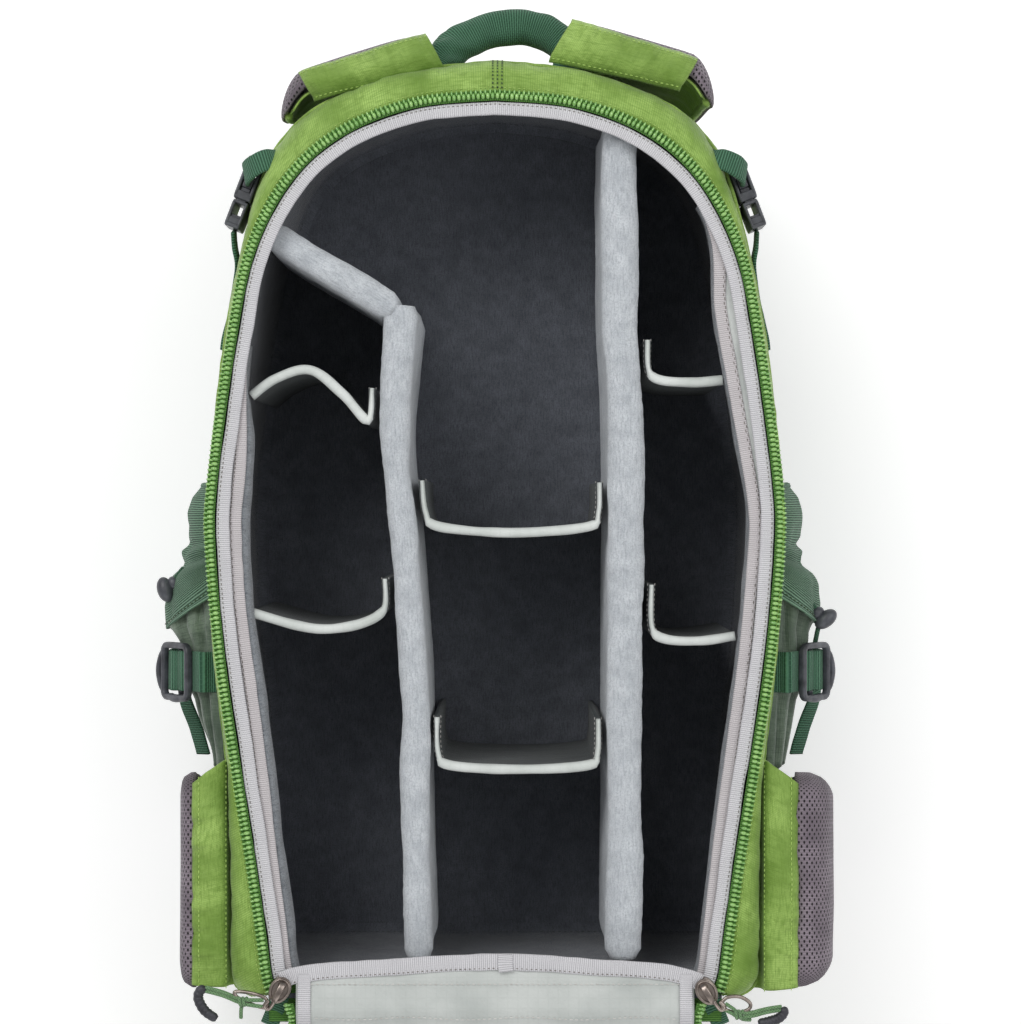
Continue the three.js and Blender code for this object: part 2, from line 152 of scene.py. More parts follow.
def at_z(line, z):
    """A flat line's points (x, h) at height z."""
    return np.column_stack([line, np.broadcast_to(z, len(line))])


def shrunk(row, centre, share, z):
    """A row of points drawn in towards a centre (x, h), at height z."""
    return at_z(centre + (row[:, :2] - centre) * share, z)


def mirrored(keys, side):
    """Points drawn for the right side, on either side of the bag."""
    return np.array(keys, float) * [side, 1, 1]


def smooth_noise(points, scale, seed):
    """Seeded smooth noise from -1 to 1 at points in millimetres; scale may differ by axis."""
    table = np.random.default_rng(seed).uniform(-1, 1, (32, 32, 32))
    at = np.asarray(points, float) / scale
    cell = np.floor(at).astype(int)
    part = at - cell
    part = part * part * (3 - 2 * part)
    total = np.zeros(at.shape[:-1])
    for corner in itertools.product((0, 1), repeat=3):
        weight = np.prod(np.where(np.array(corner, bool), part, 1 - part), axis=-1)
        x, y, z = np.moveaxis((cell + corner) % 32, -1, 0)
        total += weight * table[x, y, z]
    return total


def bump_at(values, centre, width):
    """A smooth hump of height 1 about centre."""
    return np.exp(-(((np.asarray(values, float) - centre) / width) ** 2))


def normals_of(rows):
    """Unit normals of a grid of points."""
    return unit(np.cross(np.gradient(rows, axis=1), np.gradient(rows, axis=0)))


def soften(rows, amount, size, seed, folds=0):
    """Moves cloth in and out with soft wrinkles; folds adds long creases across the rows."""
    rows = np.asarray(rows, float)
    move = amount * smooth_noise(rows, size, seed)
    if folds:
        move = move + folds * smooth_noise(rows, (size / 3, size / 3, size * 2.5), seed + 7)
    return rows + normals_of(rows) * move[..., None]


def facing(rows, direction):
    """The same grid of points, turned over if its front doesn't face that way."""
    rows = np.asarray(rows, float)
    front = normals_of(rows).mean(axis=(0, 1)) @ np.asarray(direction, float)
    return rows if front > 0 else rows[:, ::-1]


# ---------------------------------------------------------------------------------------------------
# Meshes
# ---------------------------------------------------------------------------------------------------
def make_mesh(name, points, faces, uvs=None, smooth=True, solid=False):
    """A piece from points in bag millimetres. A solid's faces are all turned outwards."""
    mesh = bpy.data.meshes.new(name)
    mesh.from_pydata(world(points).tolist(), [], faces)
    if uvs is not None:
        mesh.uv_layers.new(name="UVMap").data.foreach_set("uv", np.asarray(uvs, np.float32).ravel())
    mesh.polygons.foreach_set("use_smooth", [smooth] * len(mesh.polygons))
    piece = bpy.data.objects.new(name, mesh)
    bpy.context.scene.collection.objects.link(piece)
    if solid:
        work = bmesh.new()
        work.from_mesh(mesh)
        bmesh.ops.recalc_face_normals(work, faces=work.faces)
        work.to_mesh(mesh)
        work.free()
    return piece


def grid(name, rows, wrap=False, flat_uv=False, caps=False, thick=0):
    """A surface over rows of points. wrap joins the ends of each row, and caps fills the end rows."""
    rows = np.asarray(rows, float)
    count, width = rows.shape[:2]
    columns = width if wrap else width - 1
    i, j = np.meshgrid(np.arange(count - 1), np.arange(columns), indexing="ij")
    i, j = i.ravel(), j.ravel()
    corners = [(i, j), (i, j + 1), (i + 1, j + 1), (i + 1, j)]
    faces = np.column_stack([a * width + b % width for a, b in corners]).tolist()
    middle = rows[count // 2]
    across = arc(closed(middle) if wrap else middle)
    down = arc(rows[:, width // 3])
    if flat_uv:
        uvs = np.stack([rows[a, b % width, :2] for a, b in corners], axis=1)
    else:
        uvs = np.stack([np.column_stack([across[b], down[a]]) for a, b in corners], axis=1)
    uvs = uvs.reshape(-1, 2)
    if caps:
        last = range((count - 1) * width, count * width)
        faces += [list(range(width))[::-1], list(last)]
        uvs = np.vstack([uvs, rows[0][::-1, :2], rows[-1][:, :2]])
    piece = make_mesh(name, rows.reshape(-1, 3), faces, uvs, solid=caps)
    if thick:
        cloth = piece.modifiers.new("thickness", "SOLIDIFY")
        cloth.thickness = thick / 1000
        cloth.offset = -1
    return piece


def rounded_rectangle(half_u, half_v, corner, steps=6):
    """A rectangle's outline, each round corner with this many points."""
    points = []
    for su, sv, start in ((1, 1, 0), (-1, 1, 90), (-1, -1, 180), (1, -1, 270)):
        for angle in np.radians(start + np.linspace(0, 90, steps)):
            points.append((su * (half_u - corner) + corner * math.cos(angle),
                           sv * (half_v - corner) + corner * math.sin(angle)))
    return np.array(points)


def flat_section(width, thick, corner=None, steps=3):
    """A flat strap's section, with round corners."""
    corner = min(width, thick) / 2 * 0.98 if corner is None else corner
    return rounded_rectangle(width / 2, thick / 2, corner, steps + 1)


def round_section(radius, sides=10):
    turns = np.linspace(0, 2 * math.pi, sides, endpoint=False)
    return radius * np.column_stack([np.cos(turns), np.sin(turns)])


def frames_along(path, up):
    """Unit vectors ahead, to the right and up along a line, as it is seen from up."""
    tangent = unit(np.gradient(np.asarray(path, float), axis=0))
    side = unit(np.cross(tangent, np.broadcast_to(np.asarray(up, float), tangent.shape)))
    return tangent, side, np.cross(side, tangent)


def sweep_rows(path, section, up=UP, scale=None):
    """A section carried along a line as rows of points; scale holds its width and height on the way."""
    path = np.asarray(path, float)
    _, side, rise = frames_along(path, up)
    size = np.ones((len(path), 2)) if scale is None else np.asarray(scale, float)
    a = section[None, :, 0, None] * size[:, None, None, 0]
    b = section[None, :, 1, None] * size[:, None, None, 1]
    return path[:, None] + a * side[:, None] + b * rise[:, None]


def sweep(name, path, section, up=UP, scale=None, rough=0, seed=1, grain=9):
    """A closed section carried along a line, with closed ends and an optional soft unevenness."""
    rows = sweep_rows(path, section, up, scale)
    if rough:
        rows = soften(rows, rough, grain, seed)
    return grid(name, rows, wrap=True, caps=True)


def closed_sweep(name, path, section, up=UP):
    """A section carried round a closed line; the path's last point joins its first."""
    rows = sweep_rows(np.vstack([path[-1:], path, path[:1]]), section, up)[1:-1]
    return grid(name, closed(rows), wrap=True)


def ball(sides=8, rings=5):
    """A unit sphere's points and faces."""
    points = [(0, 0, 1)]
    for polar in math.pi * np.arange(1, rings) / rings:
        for turn in 2 * math.pi * np.arange(sides) / sides:
            x, y = math.sin(polar) * math.cos(turn), math.sin(polar) * math.sin(turn)
            points.append((x, y, math.cos(polar)))
    points.append((0, 0, -1))
    last = len(points) - 1
    pairs = [(s, (s + 1) % sides) for s in range(sides)]
    faces = [[0, 1 + s, 1 + after] for s, after in pairs]
    for start in range(1, 1 + (rings - 2) * sides, sides):
        below = start + sides
        faces += [[start + s, below + s, below + after, start + after] for s, after in pairs]
    faces += [[last, last - sides + after, last - sides + s] for s, after in pairs]
    return np.array(points), faces


def scatter(name, shape, centres, axes, sizes):
    """Copies of a small shape: axes holds three unit vectors for each centre, sizes three half lengths."""
    template, template_faces = shape
    local = template[None] * np.broadcast_to(np.asarray(sizes, float), (len(centres), 3))[:, None]
    points = np.einsum("nvk,nkd->nvd", local, axes) + np.asarray(centres, float)[:, None]
    count = len(template)
    faces = [[v + n * count for v in face] for n in range(len(centres)) for face in template_faces]
    return make_mesh(name, points.reshape(-1, 3), faces)


def spaced(path, pitch, up=UP):
    """Points every pitch along a line, with their axes."""
    path = np.asarray(path, float)
    count = max(2, int(arc(path)[-1] / pitch))
    up = np.broadcast_to(np.asarray(up, float), path.shape)
    spots = resample(path, count)
    share = np.linspace(0, 1, count)
    old = arc(path) / arc(path)[-1]
    ups = np.column_stack([np.interp(share, old, column) for column in up.T])
    return spots, np.stack(frames_along(spots, ups), axis=1)


STITCH = ball(6, 4)


def dress(piece, look, body=None, replaces=(), bevel=0):
    """Gives a piece its material, body and optional bevel, and hides the CAD nodes that it stands for."""
    piece.data.materials.clear()
    piece.data.materials.append(LOOKS[look]["material"])
    if bevel:
        edge = piece.modifiers.new("edges", "BEVEL")
        edge.width = bevel / 1000
        edge.segments = 3
        edge.limit_method = "ANGLE"
        edge.angle_limit = math.radians(35)
    if body:
        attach(piece, body)
    if replaces:
        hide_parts(*replaces)
    return piece


def lofted(name, look, body, rows, slot=None, replaces=(), **shape):
    """A dressed surface over rows of points."""
    return dress(grid(name, rows, **shape), look, body, replaces)


def swept(name, look, body, path, section, slot=None, replaces=(), **shape):
    """A dressed piece with one section along a line."""
    return dress(sweep(name, path, section, **shape), look, body, replaces)


def beads(name, look, body, path, pitch, shape, sizes, up=UP):
    """Dressed copies of a small shape, one every pitch along a line."""
    spots, axes = spaced(path, pitch, up)
    return dress(scatter(name, shape, spots, axes, sizes), look, body)


def stitches(name, look, body, runs, pitch=2.6, length=1.9, width=0.55):
    """Rows of stitches as one piece. A run is (path, up), with up pointing out of the cloth."""
    centres, axes = zip(*[spaced(path, pitch, up) for path, up in runs])
    sizes = (length / 2, width / 2, width / 2.4)
    return dress(scatter(name, STITCH, np.vstack(centres), np.vstack(axes), sizes), look, body)


# ---------------------------------------------------------------------------------------------------
# Materials
# ---------------------------------------------------------------------------------------------------
def srgb(*colours):
    """Screen colours, each part from 0 to 255, as linear RGBA."""
    shares = [[part / 255 for part in colour] for colour in colours]
    return [[s / 12.92 if s <= 0.04045 else ((s + 0.055) / 1.055) ** 2.4 for s in colour] + [1]
            for colour in shares]


class Graph:
    """A material's node tree. u and v are the UV coordinates in millimetres."""

    def __init__(self, name, slot, roughness=0.8, metallic=0, sheen=0, specular=0.3, coat=0):
        self.material = bpy.data.materials.new(name)
        self.material.use_nodes = True
        self.slot = slot
        self.tree = self.material.node_tree
        self.shader = self.tree.nodes["Principled BSDF"]
        self.set("Roughness", roughness)
        self.set("Metallic", metallic)
        self.set("Sheen Weight", sheen)
        self.set("Specular IOR Level", specular)
        self.set("Coat Weight", coat)
        self.uv = self.add("ShaderNodeUVMap").outputs["UV"]
        split = self.add("ShaderNodeSeparateXYZ", Vector=self.uv)
        self.u, self.v = split.outputs["X"], split.outputs["Y"]
        self.place = self.scaled(self.add("ShaderNodeTexCoord").outputs["Object"], 1000)

    def set(self, name, value):
        self.shader.inputs[name].default_value = value

    def add(self, kind, settings=(), **inputs):
        node = self.tree.nodes.new(kind)
        for key, value in dict(settings).items():
            setattr(node, key, value)
        for key, value in inputs.items():
            self.plug(node.inputs[key.replace("_", " ")], value)
        return node

    def plug(self, socket, value):
        if isinstance(value, bpy.types.NodeSocket):
            self.tree.links.new(value, socket)
        else:
            socket.default_value = value

    def math(self, operation, *values, clamp=False):
        node = self.add("ShaderNodeMath", {"operation": operation, "use_clamp": clamp})
        for socket, value in zip(node.inputs, values):
            self.plug(socket, value)
        return node.outputs[0]

    def scaled(self, vector, factor):
        node = self.add("ShaderNodeVectorMath", {"operation": "MULTIPLY"})
        factors = factor if isinstance(factor, (tuple, list)) else (factor,) * 3
        self.plug(node.inputs[0], vector)
        self.plug(node.inputs[1], factors)
        return node.outputs[0]

    def tint(self, colour, mask, share, other):
        """The colour, turned towards another one by a share of the mask."""
        return self.mix(self.math("MULTIPLY", mask, share), colour, other)

    def ripple(self, value, pitch, sharp=1.0):
        """Ridges from 0 to 1, one every pitch millimetres."""
        wave = self.math("SINE", self.math("MULTIPLY", value, 2 * math.pi / pitch))
        lifted = self.math("MULTIPLY_ADD", wave, 0.5, 0.5)
        return lifted if sharp == 1.0 else self.math("POWER", lifted, sharp)

    def noise(self, size, detail=2.0, vector=None, rough=0.5):
        """Cloudy noise with features about size millimetres across."""
        source = self.place if vector is None else vector
        inputs = {"Vector": source, "Scale": 1 / size, "Detail": detail, "Roughness": rough}
        return self.add("ShaderNodeTexNoise", **inputs).outputs["Fac"]

    def levels(self, value, low, high):
        """The part of a value between low and high, as 0 to 1."""
        node = self.add("ShaderNodeMapRange", {"clamp": True}, Value=value, From_Min=low, From_Max=high)
        return node.outputs["Result"]

    def mix(self, share, first, second, blend="MIX"):
        node = self.add("ShaderNodeMix", {"data_type": "RGBA", "blend_type": blend})
        self.plug(node.inputs["Factor"], share)
        self.plug(node.inputs[6], first)
        self.plug(node.inputs[7], second)
        return node.outputs[2]

    def total(self, *weighted):
        """The sum of (socket, weight) pairs."""
        result = self.math("MULTIPLY", *weighted[0])
        for socket, weight in weighted[1:]:
            result = self.math("MULTIPLY_ADD", socket, weight, result)
        return result

    def finish(self, colour, height=None, depth=0.3, roughness=None):
        """Joins colour, bump (depth in millimetres) and roughness to the shader."""
        self.plug(self.shader.inputs["Base Color"], colour)
        if height is not None:
            bump = self.add("ShaderNodeBump", Height=height, Strength=1.0, Distance=depth / 1000)
            self.plug(self.shader.inputs["Normal"], bump.outputs["Normal"])
        if roughness is not None:
            self.plug(self.shader.inputs["Roughness"], roughness)
        return {"material": self.material, "slot": self.slot}

    def mottled(self, light, dark, size=18, low=0.35, high=0.7):
        return self.mix(self.levels(self.noise(size, 4), low, high), light, dark)


def plain_weave(graph, pitch=0.55):
    """Threads along u and v, the higher one on top."""
    along = graph.ripple(graph.u, pitch, 0.7)
    return graph.math("MAXIMUM", along, graph.ripple(graph.v, pitch * 1.1, 0.7))


def nylon(name, slot, light, dark, line, ripstop=1.15, sheen=0.15, roughness=0.62, depth=0.12):
    """Coated nylon: a fine weave, ripstop lines along v, cloudy colour and soft handling creases; the
    creases and wrinkles are also darkened in colour as painted shade.
    """
    light, dark, line = srgb(light, dark, line)
    g = Graph(name, slot, roughness, sheen=sheen, specular=0.35)
    weave = plain_weave(g)
    lines = g.ripple(g.u, ripstop, 3)
    cross = g.ripple(g.v, ripstop * 4.2, 14)
    creases = g.noise(8, 5, rough=0.6)
    base = g.mottled(light, dark, 26)
    threads = g.tint(base, lines, 0.5, line)
    threads = g.tint(threads, cross, 0.12, line)
    speckle = g.levels(g.noise(0.5, 1), 0.3, 0.7)
    colour = g.tint(threads, speckle, 0.2, dark)
    # Painted shade: the colour darkens where the crease noise rises, standing in for shade in the creases.
    colour = g.tint(colour, g.levels(creases, 0.52, 0.72), 0.3, dark)
    streaks = g.noise(0.8, 3, g.scaled(g.uv, (0.12, 1, 1)), 0.7)
    colour = g.tint(colour, g.levels(streaks, 0.47, 0.62), 0.55, dark)
    wrinkles = g.noise(5, 4, g.scaled(g.uv, (1.3, 0.4, 1)), 0.65)
    # Painted shade: the colour darkens along the long wrinkles, standing in for their shading.
    colour = g.tint(colour, g.levels(wrinkles, 0.5, 0.68), 0.5, dark)
    height = g.total((weave, 0.25), (lines, 0.35), (streaks, 0.8), (creases, 8.0), (wrinkles, 7.0))
    gloss = g.math("MULTIPLY_ADD", g.noise(9, 3), 0.22, roughness - 0.12)
    return g.finish(colour, height, depth, gloss)


def ribbed_tape(name, slot, light, dark, pitch=1.0, depth=0.22, twill=0.0, sheen=0.1):
    """Grosgrain or webbing: ribs across its length, which is v, with broken floats along it; rib tops and
    floats are painted lighter and the grooves darker, as painted highlight and shade.
    """
    light, dark = srgb(light, dark)
    g = Graph(name, slot, 0.8, sheen=sheen, specular=0.2)
    ribs = g.ripple(g.v, pitch)
    slanted = g.math("MULTIPLY_ADD", g.u, twill, g.v)
    floats = g.math("MULTIPLY", g.ripple(slanted, pitch * 1.9, 2), g.ripple(g.u, 1.3, 1.5))
    wear = g.levels(g.noise(12, 4), 0.4, 0.75)
    # Painted highlight and shade: rib tops and floats lighter, the grooves between the ribs darker.
    base = g.mix(ribs, dark, light)
    base = g.tint(base, floats, 0.3, light)
    colour = g.tint(base, wear, 0.25, dark)
    height = g.total((ribs, 0.8), (floats, 0.5), (g.noise(0.4, 1), 0.25))
    return g.finish(colour, height, depth)


def spacer_mesh(name, light, dark, cell=2.6):
    """Air mesh: rows of diamond holes over a darker knit, painted near black partly as that knit and partly
    as painted shade in the hollows, with fine ribs between.
    """
    light, dark, hole = srgb(light, dark, (38, 32, 37))
    g = Graph(name, "air_mesh", 0.85, sheen=0.25, specular=0.15)
    first = g.math("ADD", g.math("MULTIPLY", g.u, 1.35), g.v)
    second = g.math("SUBTRACT", g.math("MULTIPLY", g.u, 1.35), g.v)
    diamonds = g.math("MULTIPLY", g.ripple(first, cell * 1.3), g.ripple(second, cell * 1.3))
    holes = g.levels(diamonds, 0.38, 0.62)
    ribs = g.ripple(g.v, 0.7)
    base = g.mix(ribs, dark, light)
    shade = g.mix(g.levels(g.noise(14, 3), 0.35, 0.7), base, dark)
    # The holes: partly the darker knit beneath, partly painted shade in the sunken hollows.
    colour = g.mix(holes, shade, hole)
    height = g.total((holes, -1.0), (ribs, 0.22))
    return g.finish(colour, height, 0.7)


def pile(name, slot, light, dark, size=0.9, sheen=0.6, depth=0.5):
    """Brushed cloth: a short pile with clumps, strokes and a soft bloom of light at its edges."""
    light, dark = srgb(light, dark)
    g = Graph(name, slot, 0.95, sheen=sheen, specular=0.08)
    g.set("Sheen Roughness", 0.45)
    fine = g.noise(size * 0.35, 2)
    clumps = g.noise(size, 4, rough=0.7)
    strokes = g.noise(9, 3)
    streaks = g.noise(size * 1.1, 4, g.scaled(g.uv, (1, 0.16, 1)), 0.75)
    colour = g.tint(light, g.levels(strokes, 0.35, 0.7), 0.45, dark)
    colour = g.tint(colour, g.levels(clumps, 0.46, 0.66), 0.55, dark)
    colour = g.tint(colour, g.levels(streaks, 0.47, 0.64), 0.6, dark)
    colour = g.tint(colour, g.levels(fine, 0.55, 0.7), 0.6, light)
    return g.finish(colour, g.total((clumps, 1.0), (streaks, 0.9), (fine, 0.8)), depth)


def satin(name, slot, light, dark, line):
    """Thin coated lining: a barely seen weave with small box ripstop and long soft creases."""
    light, dark, line = srgb(light, dark, line)
    g = Graph(name, slot, 0.48, sheen=0.2, specular=0.4)
    weave = plain_weave(g, 0.5)
    box = g.math("MAXIMUM", g.ripple(g.u, 5, 22), g.ripple(g.v, 5, 22))
    creases = g.noise(11, 4, rough=0.6)
    share = g.math("MULTIPLY", box, 0.1)
    colour = g.mix(share, g.mottled(light, dark, 24), line)
    height = g.total((weave, 0.12), (box, 0.1), (creases, 3.6))
    return g.finish(colour, height, 0.3, g.math("MULTIPLY_ADD", g.noise(16, 3), 0.25, 0.36))


def moulded(name, slot, light, dark, roughness=0.45, metallic=0, grain=0.35, depth=0.05, coat=0):
    """Moulded plastic or plated metal: fine grain, scuffs and rubbed edges."""
    light, dark = srgb(light, dark)
    g = Graph(name, slot, roughness, metallic, specular=0.5, coat=coat)
    grains = g.noise(grain, 2)
    scuffs = g.levels(g.noise(1.6, 6, g.scaled(g.place, (1, 6, 2)), 0.8), 0.58, 0.75)
    edges = g.levels(g.add("ShaderNodeNewGeometry").outputs["Pointiness"], 0.52, 0.6)
    base = g.mix(g.levels(g.noise(6, 3), 0.3, 0.7), dark, light)
    colour = g.tint(base, edges, 0.35, light)
    colour = g.tint(colour, scuffs, 0.25, light)
    gloss = g.total((grains, 0.15), (scuffs, 0.25), (edges, -0.12))
    return g.finish(colour, grains, depth, g.math("ADD", gloss, roughness - 0.08))


def zip_teeth(name, light, dark):
    """Glossy moulded teeth, each a shade of its own."""
    light, dark = srgb(light, dark)
    g = Graph(name, "zip_chain", 0.22, specular=0.8, coat=0.6)
    each = g.add("ShaderNodeNewGeometry").outputs["Random Per Island"]
    spread = g.math("MULTIPLY", each, 0.55)
    colour = g.mix(g.math("ADD", spread, g.math("MULTIPLY", g.noise(1.2, 2), 0.3)), light, dark)
    return g.finish(colour, g.noise(0.5, 1), 0.04, g.math("MULTIPLY_ADD", g.noise(0.8, 2), 0.15, 0.2))


def thread(name, slot, light, dark):
    """Twisted sewing thread."""
    light, dark = srgb(light, dark)
    g = Graph(name, slot, 0.6, sheen=0.3, specular=0.3)
    each = g.add("ShaderNodeNewGeometry").outputs["Random Per Island"]
    plies = g.noise(0.22, 1)
    colour = g.mix(g.total((each, 0.5), (plies, 0.4)), light, dark)
    return g.finish(colour, plies, 0.08)


def braid(name, light, dark, pitch=1.5):
    """A braided cord, u round it and v along it."""
    light, dark = srgb(light, dark)
    g = Graph(name, "cord", 0.75, sheen=0.2, specular=0.2)
    one = g.ripple(g.math("ADD", g.v, g.u), pitch)
    other = g.ripple(g.math("SUBTRACT", g.v, g.u), pitch)
    strands = g.math("MAXIMUM", one, other)
    colour = g.mix(strands, dark, light)
    colour = g.tint(colour, g.levels(g.noise(3, 3), 0.4, 0.7), 0.3, dark)
    return g.finish(colour, g.total((strands, 1.0), (g.noise(0.3, 1), 0.3)), 0.3)


LOOKS = {
    "green": nylon("green_ripstop", "green_nylon", (168, 201, 106), (102, 135, 44), (90, 134, 40)),
    "strap_green": nylon("green_twill", "green_nylon", (167, 199, 105), (100, 133, 44), (120, 152, 64),
                         0.9),
    "olive": nylon("olive_nylon", "olive_nylon", (126, 142, 124), (64, 80, 66), (112, 128, 108),
                   0.8, 0.2, 0.5),
    "forest": nylon("forest_nylon", "dark_nylon", (66, 92, 72), (48, 72, 54), (40, 62, 46), 1.4, 0.1, 0.7),
    "base": nylon("base_nylon", "dark_nylon", (58, 70, 62), (44, 54, 48), (30, 40, 34),
                  2.0, 0.05, 0.75, 0.3),
    "webbing": ribbed_tape("green_webbing", "webbing", (86, 130, 104), (34, 70, 50), 1.35, 0.4, 1.1),
    "cuff": ribbed_tape("stretch_cuff", "olive_nylon", (128, 162, 138), (40, 64, 48), 1.25, 0.5, 0.5),
    "grosgrain": ribbed_tape("pale_grosgrain", "grosgrain", (222, 221, 224), (180, 179, 183)),
    "grosgrain_grey": ribbed_tape("grey_grosgrain", "grosgrain", (212, 207, 208), (170, 165, 167)),
    "tape": ribbed_tape("zip_tape", "zip_chain", (96, 142, 64), (46, 90, 36), 1.1, 0.2, 0.9),
    "mesh": spacer_mesh("air_mesh", (162, 150, 160), (112, 102, 111), 2.8),
    "velour": pile("velour", "velour", (237, 242, 247), (168, 175, 183), 0.9, 0.5, 0.9),
    "loop": pile("loop_lining", "loop_lining", (128, 132, 140), (78, 81, 89), 0.7, 0.35, 0.45),
    "satin": satin("satin_lining", "satin_lining", (199, 203, 200), (180, 185, 182), (160, 170, 162)),
    "divider": nylon("divider_cloth", "divider_cloth", (92, 97, 96), (66, 71, 72), (54, 58, 60),
                     1.0, 0.1, 0.8),
    "divider_edge": satin("divider_binding", "divider_cloth", (216, 220, 217), (190, 196, 191),
                          (174, 181, 175)),
    "teeth": zip_teeth("zip_teeth", (160, 206, 118), (84, 146, 56)),
    "cord": braid("braided_cord", (128, 164, 118), (62, 98, 62)),
    "gunmetal": moulded("gunmetal", "gunmetal", (172, 160, 152), (122, 112, 106), 0.34, 1.0, 0.6, 0.02),
    "plastic": moulded("black_plastic", "black_plastic", (86, 88, 95), (44, 45, 51), 0.42),
    "rubber": moulded("rubber_grip", "black_plastic", (66, 67, 74), (36, 36, 41), 0.5, 0, 0.5, 0.08),
    "pale_thread": thread("pale_thread", "grosgrain", (226, 224, 220), (168, 164, 158)),
    "green_thread": thread("green_thread", "green_nylon", (190, 218, 120), (142, 180, 72)),
    "dark_thread": thread("dark_thread", "green_nylon", (58, 92, 40), (28, 52, 22)),
    # Painted light: the lining's rolled rim is a lighter copy of the loop lining cloth, standing in for the
    # light falling on its top.
    "rim": pile("lining_rim", "loop_lining", (172, 178, 185), (84, 89, 96), 0.8, 0.5, 0.9),
    "lining_thread": thread("grey_thread", "loop_lining", (120, 124, 128), (70, 73, 77)),
    "brown_thread": thread("brown_thread", "grosgrain", (140, 134, 128), (92, 87, 82)),
    "cord_dark": braid("dark_cord", (64, 104, 80), (30, 60, 44)),
}


# ---------------------------------------------------------------------------------------------------
# Body, from the ground up
# ---------------------------------------------------------------------------------------------------
BODY_CENTRE = (0, 235)
body_arch = arch(BODY_LINE)
zip_arch = arch(ZIP_LINE)
shoulder = bump_at(body_arch[:, 1], 420, 38)  # 1 on the bag's shoulders, 0 along its sides
body_loop = np.vstack([body_arch, at_z(np.linspace(-121, 121, BASE_COUNT + 2)[1:-1], 4)])
loop_shoulder = np.concatenate([shoulder, np.zeros(BASE_COUNT)])
loop_out = outward(np.vstack([body_loop[-1:], body_loop, body_loop[:1]]))[1:-1]
loop_up = at_z(loop_out, 0)


def loop_row(distance, z):
    """The body's closed outline moved outwards, at a height above the ground."""
    return at_z(body_loop + loop_out * np.asarray(distance, float).reshape(-1, 1), z)


def drawn_in(distance, z):
    """The body's closed outline made smaller all round, without folding its corners."""
    return shrunk(body_loop, BODY_CENTRE, [1 - distance / 142, 1 - distance / 233], z)


def fan_rows(row, centre, shares, rise):
    """Rows that shrink from an outline towards its centre, rising softly."""
    return [shrunk(row, centre, share, row[0, 2] + rise * (1 - share**2)) for share in shares]


def build_side_walls():
    """The bright strip under the rear seam, the dark shell below it and the front face."""
    swell = np.sin(np.linspace(0, 1, 16) * math.pi) ** 0.7
    strip = [loop_row(0.4 + (0.8 + 3.6 * loop_shoulder) * s, z)
             for s, z in zip(swell, np.linspace(SEAM_Z - 0.5, 132, 16))]
    strip = soften(strip, 0.7, 26, 3, folds=0.5)[:, ::-1]
    lofted("side_wall_strip", "green", "bag_body", strip, replaces=["side_wall"], wrap=True, thick=1.2)
    shell_z = np.concatenate([np.linspace(131, 42, 22), [38, 35, 33, 31.8]])
    inset = np.concatenate([np.zeros(22), [-0.8, -3, -6, -10]])
    sag = 1.4 * np.sin(np.clip((131 - shell_z) / 89, 0, 1) * math.pi)
    shell = [loop_row(0.3 + i + s, z) for i, s, z in zip(inset, sag, shell_z)]
    shell = soften(shell, 1.0, 34, 5, folds=0.9)[:, ::-1]
    front = fan_rows(shell[-1], BODY_CENTRE, [0.92, 0.8, 0.66, 0.5, 0.34, 0.18, 0.002], 0.4)
    lofted("front_shell", "forest", "bag_body", np.vstack([shell, front]),
           replaces=["padded_partition", "laptop_compartment"], wrap=True, thick=1.5)
    swept("side_piping", "tape", "bag_body", loop_row(0.9, 131.6), round_section(1.3, 8),
          slot="webbing", rough=0.15)
    runs = [(loop_row(1.7, z), loop_up) for z in (136.5, 126.5)]
    stitches("side_stitching", "green_thread", "bag_body", runs, 3.4, 2.4)


def soft_box(name, low_corner, high_corner, corner, z_round, seed):
    """A soft box and its outline: rounded in x and h, with round edges along z."""
    (x0, h0, z0), (x1, h1, z1) = low_corner, high_corner
    outline = rounded_rectangle((x1 - x0) / 2, (h1 - h0) / 2, corner, 9) + [(x0 + x1) / 2, (h0 + h1) / 2]
    outline = resample(closed(outline), 160)[:-1]
    middle = outline.mean(axis=0)
    out = unit(outline - middle)
    turns = np.radians(np.linspace(0, 90, 6))
    edge = [(outline - out * z_round * (1 - math.sin(t)), z_round * (1 - math.cos(t))) for t in turns]
    rows = [at_z(line, z0 + rise) for line, rise in edge[:-1]]
    rows += [at_z(outline, z) for z in np.linspace(z0 + z_round, z1 - z_round, 6)]
    rows += [at_z(line, z1 - rise) for line, rise in edge[-2::-1]]
    inner = [0.9, 0.75, 0.55, 0.35, 0.15, 0.03]
    low = fan_rows(rows[0], middle, inner[::-1], 0)
    rows = soften(low + rows + fan_rows(rows[-1], middle, inner, 0), 0.6, 28, seed, folds=0.4)
    return grid(name, rows, wrap=True, caps=True), outline


def build_front_pocket():
    """The pocket that the bag lies on, with its own zip and two bands of webbing."""
    piece, outline = soft_box("front_pocket_bag", (-105, 12, 0.4), (105, 330, 30.6), 24, 9, 9)
    dress(piece, "forest", "bag_body", replaces=["front_pocket"])
    upper = sorted(outline[outline[:, 1] > 150], key=lambda p: math.atan2(p[1] - 150, p[0]))
    path = at_z(shifted(resample(upper, 150), 0.3), 16)
    up = at_z(outward(path[:, :2]), 0)
    swept("pocket_zip_tape", "tape", "bag_body", path, flat_section(12, 1.4), up=up)
    beads("pocket_zip_teeth", "teeth", "bag_body", path + up * 0.9, 2.4, ball(8, 5), (0.85, 2.2, 0.9), up)
    for name, side in SIDES.items():
        line = [(side * 40, h, 0.9) for h in np.linspace(40, 300, 60)]
        swept(f"front_daisy_{name}", "webbing", "bag_body", line, flat_section(20, 1.2))


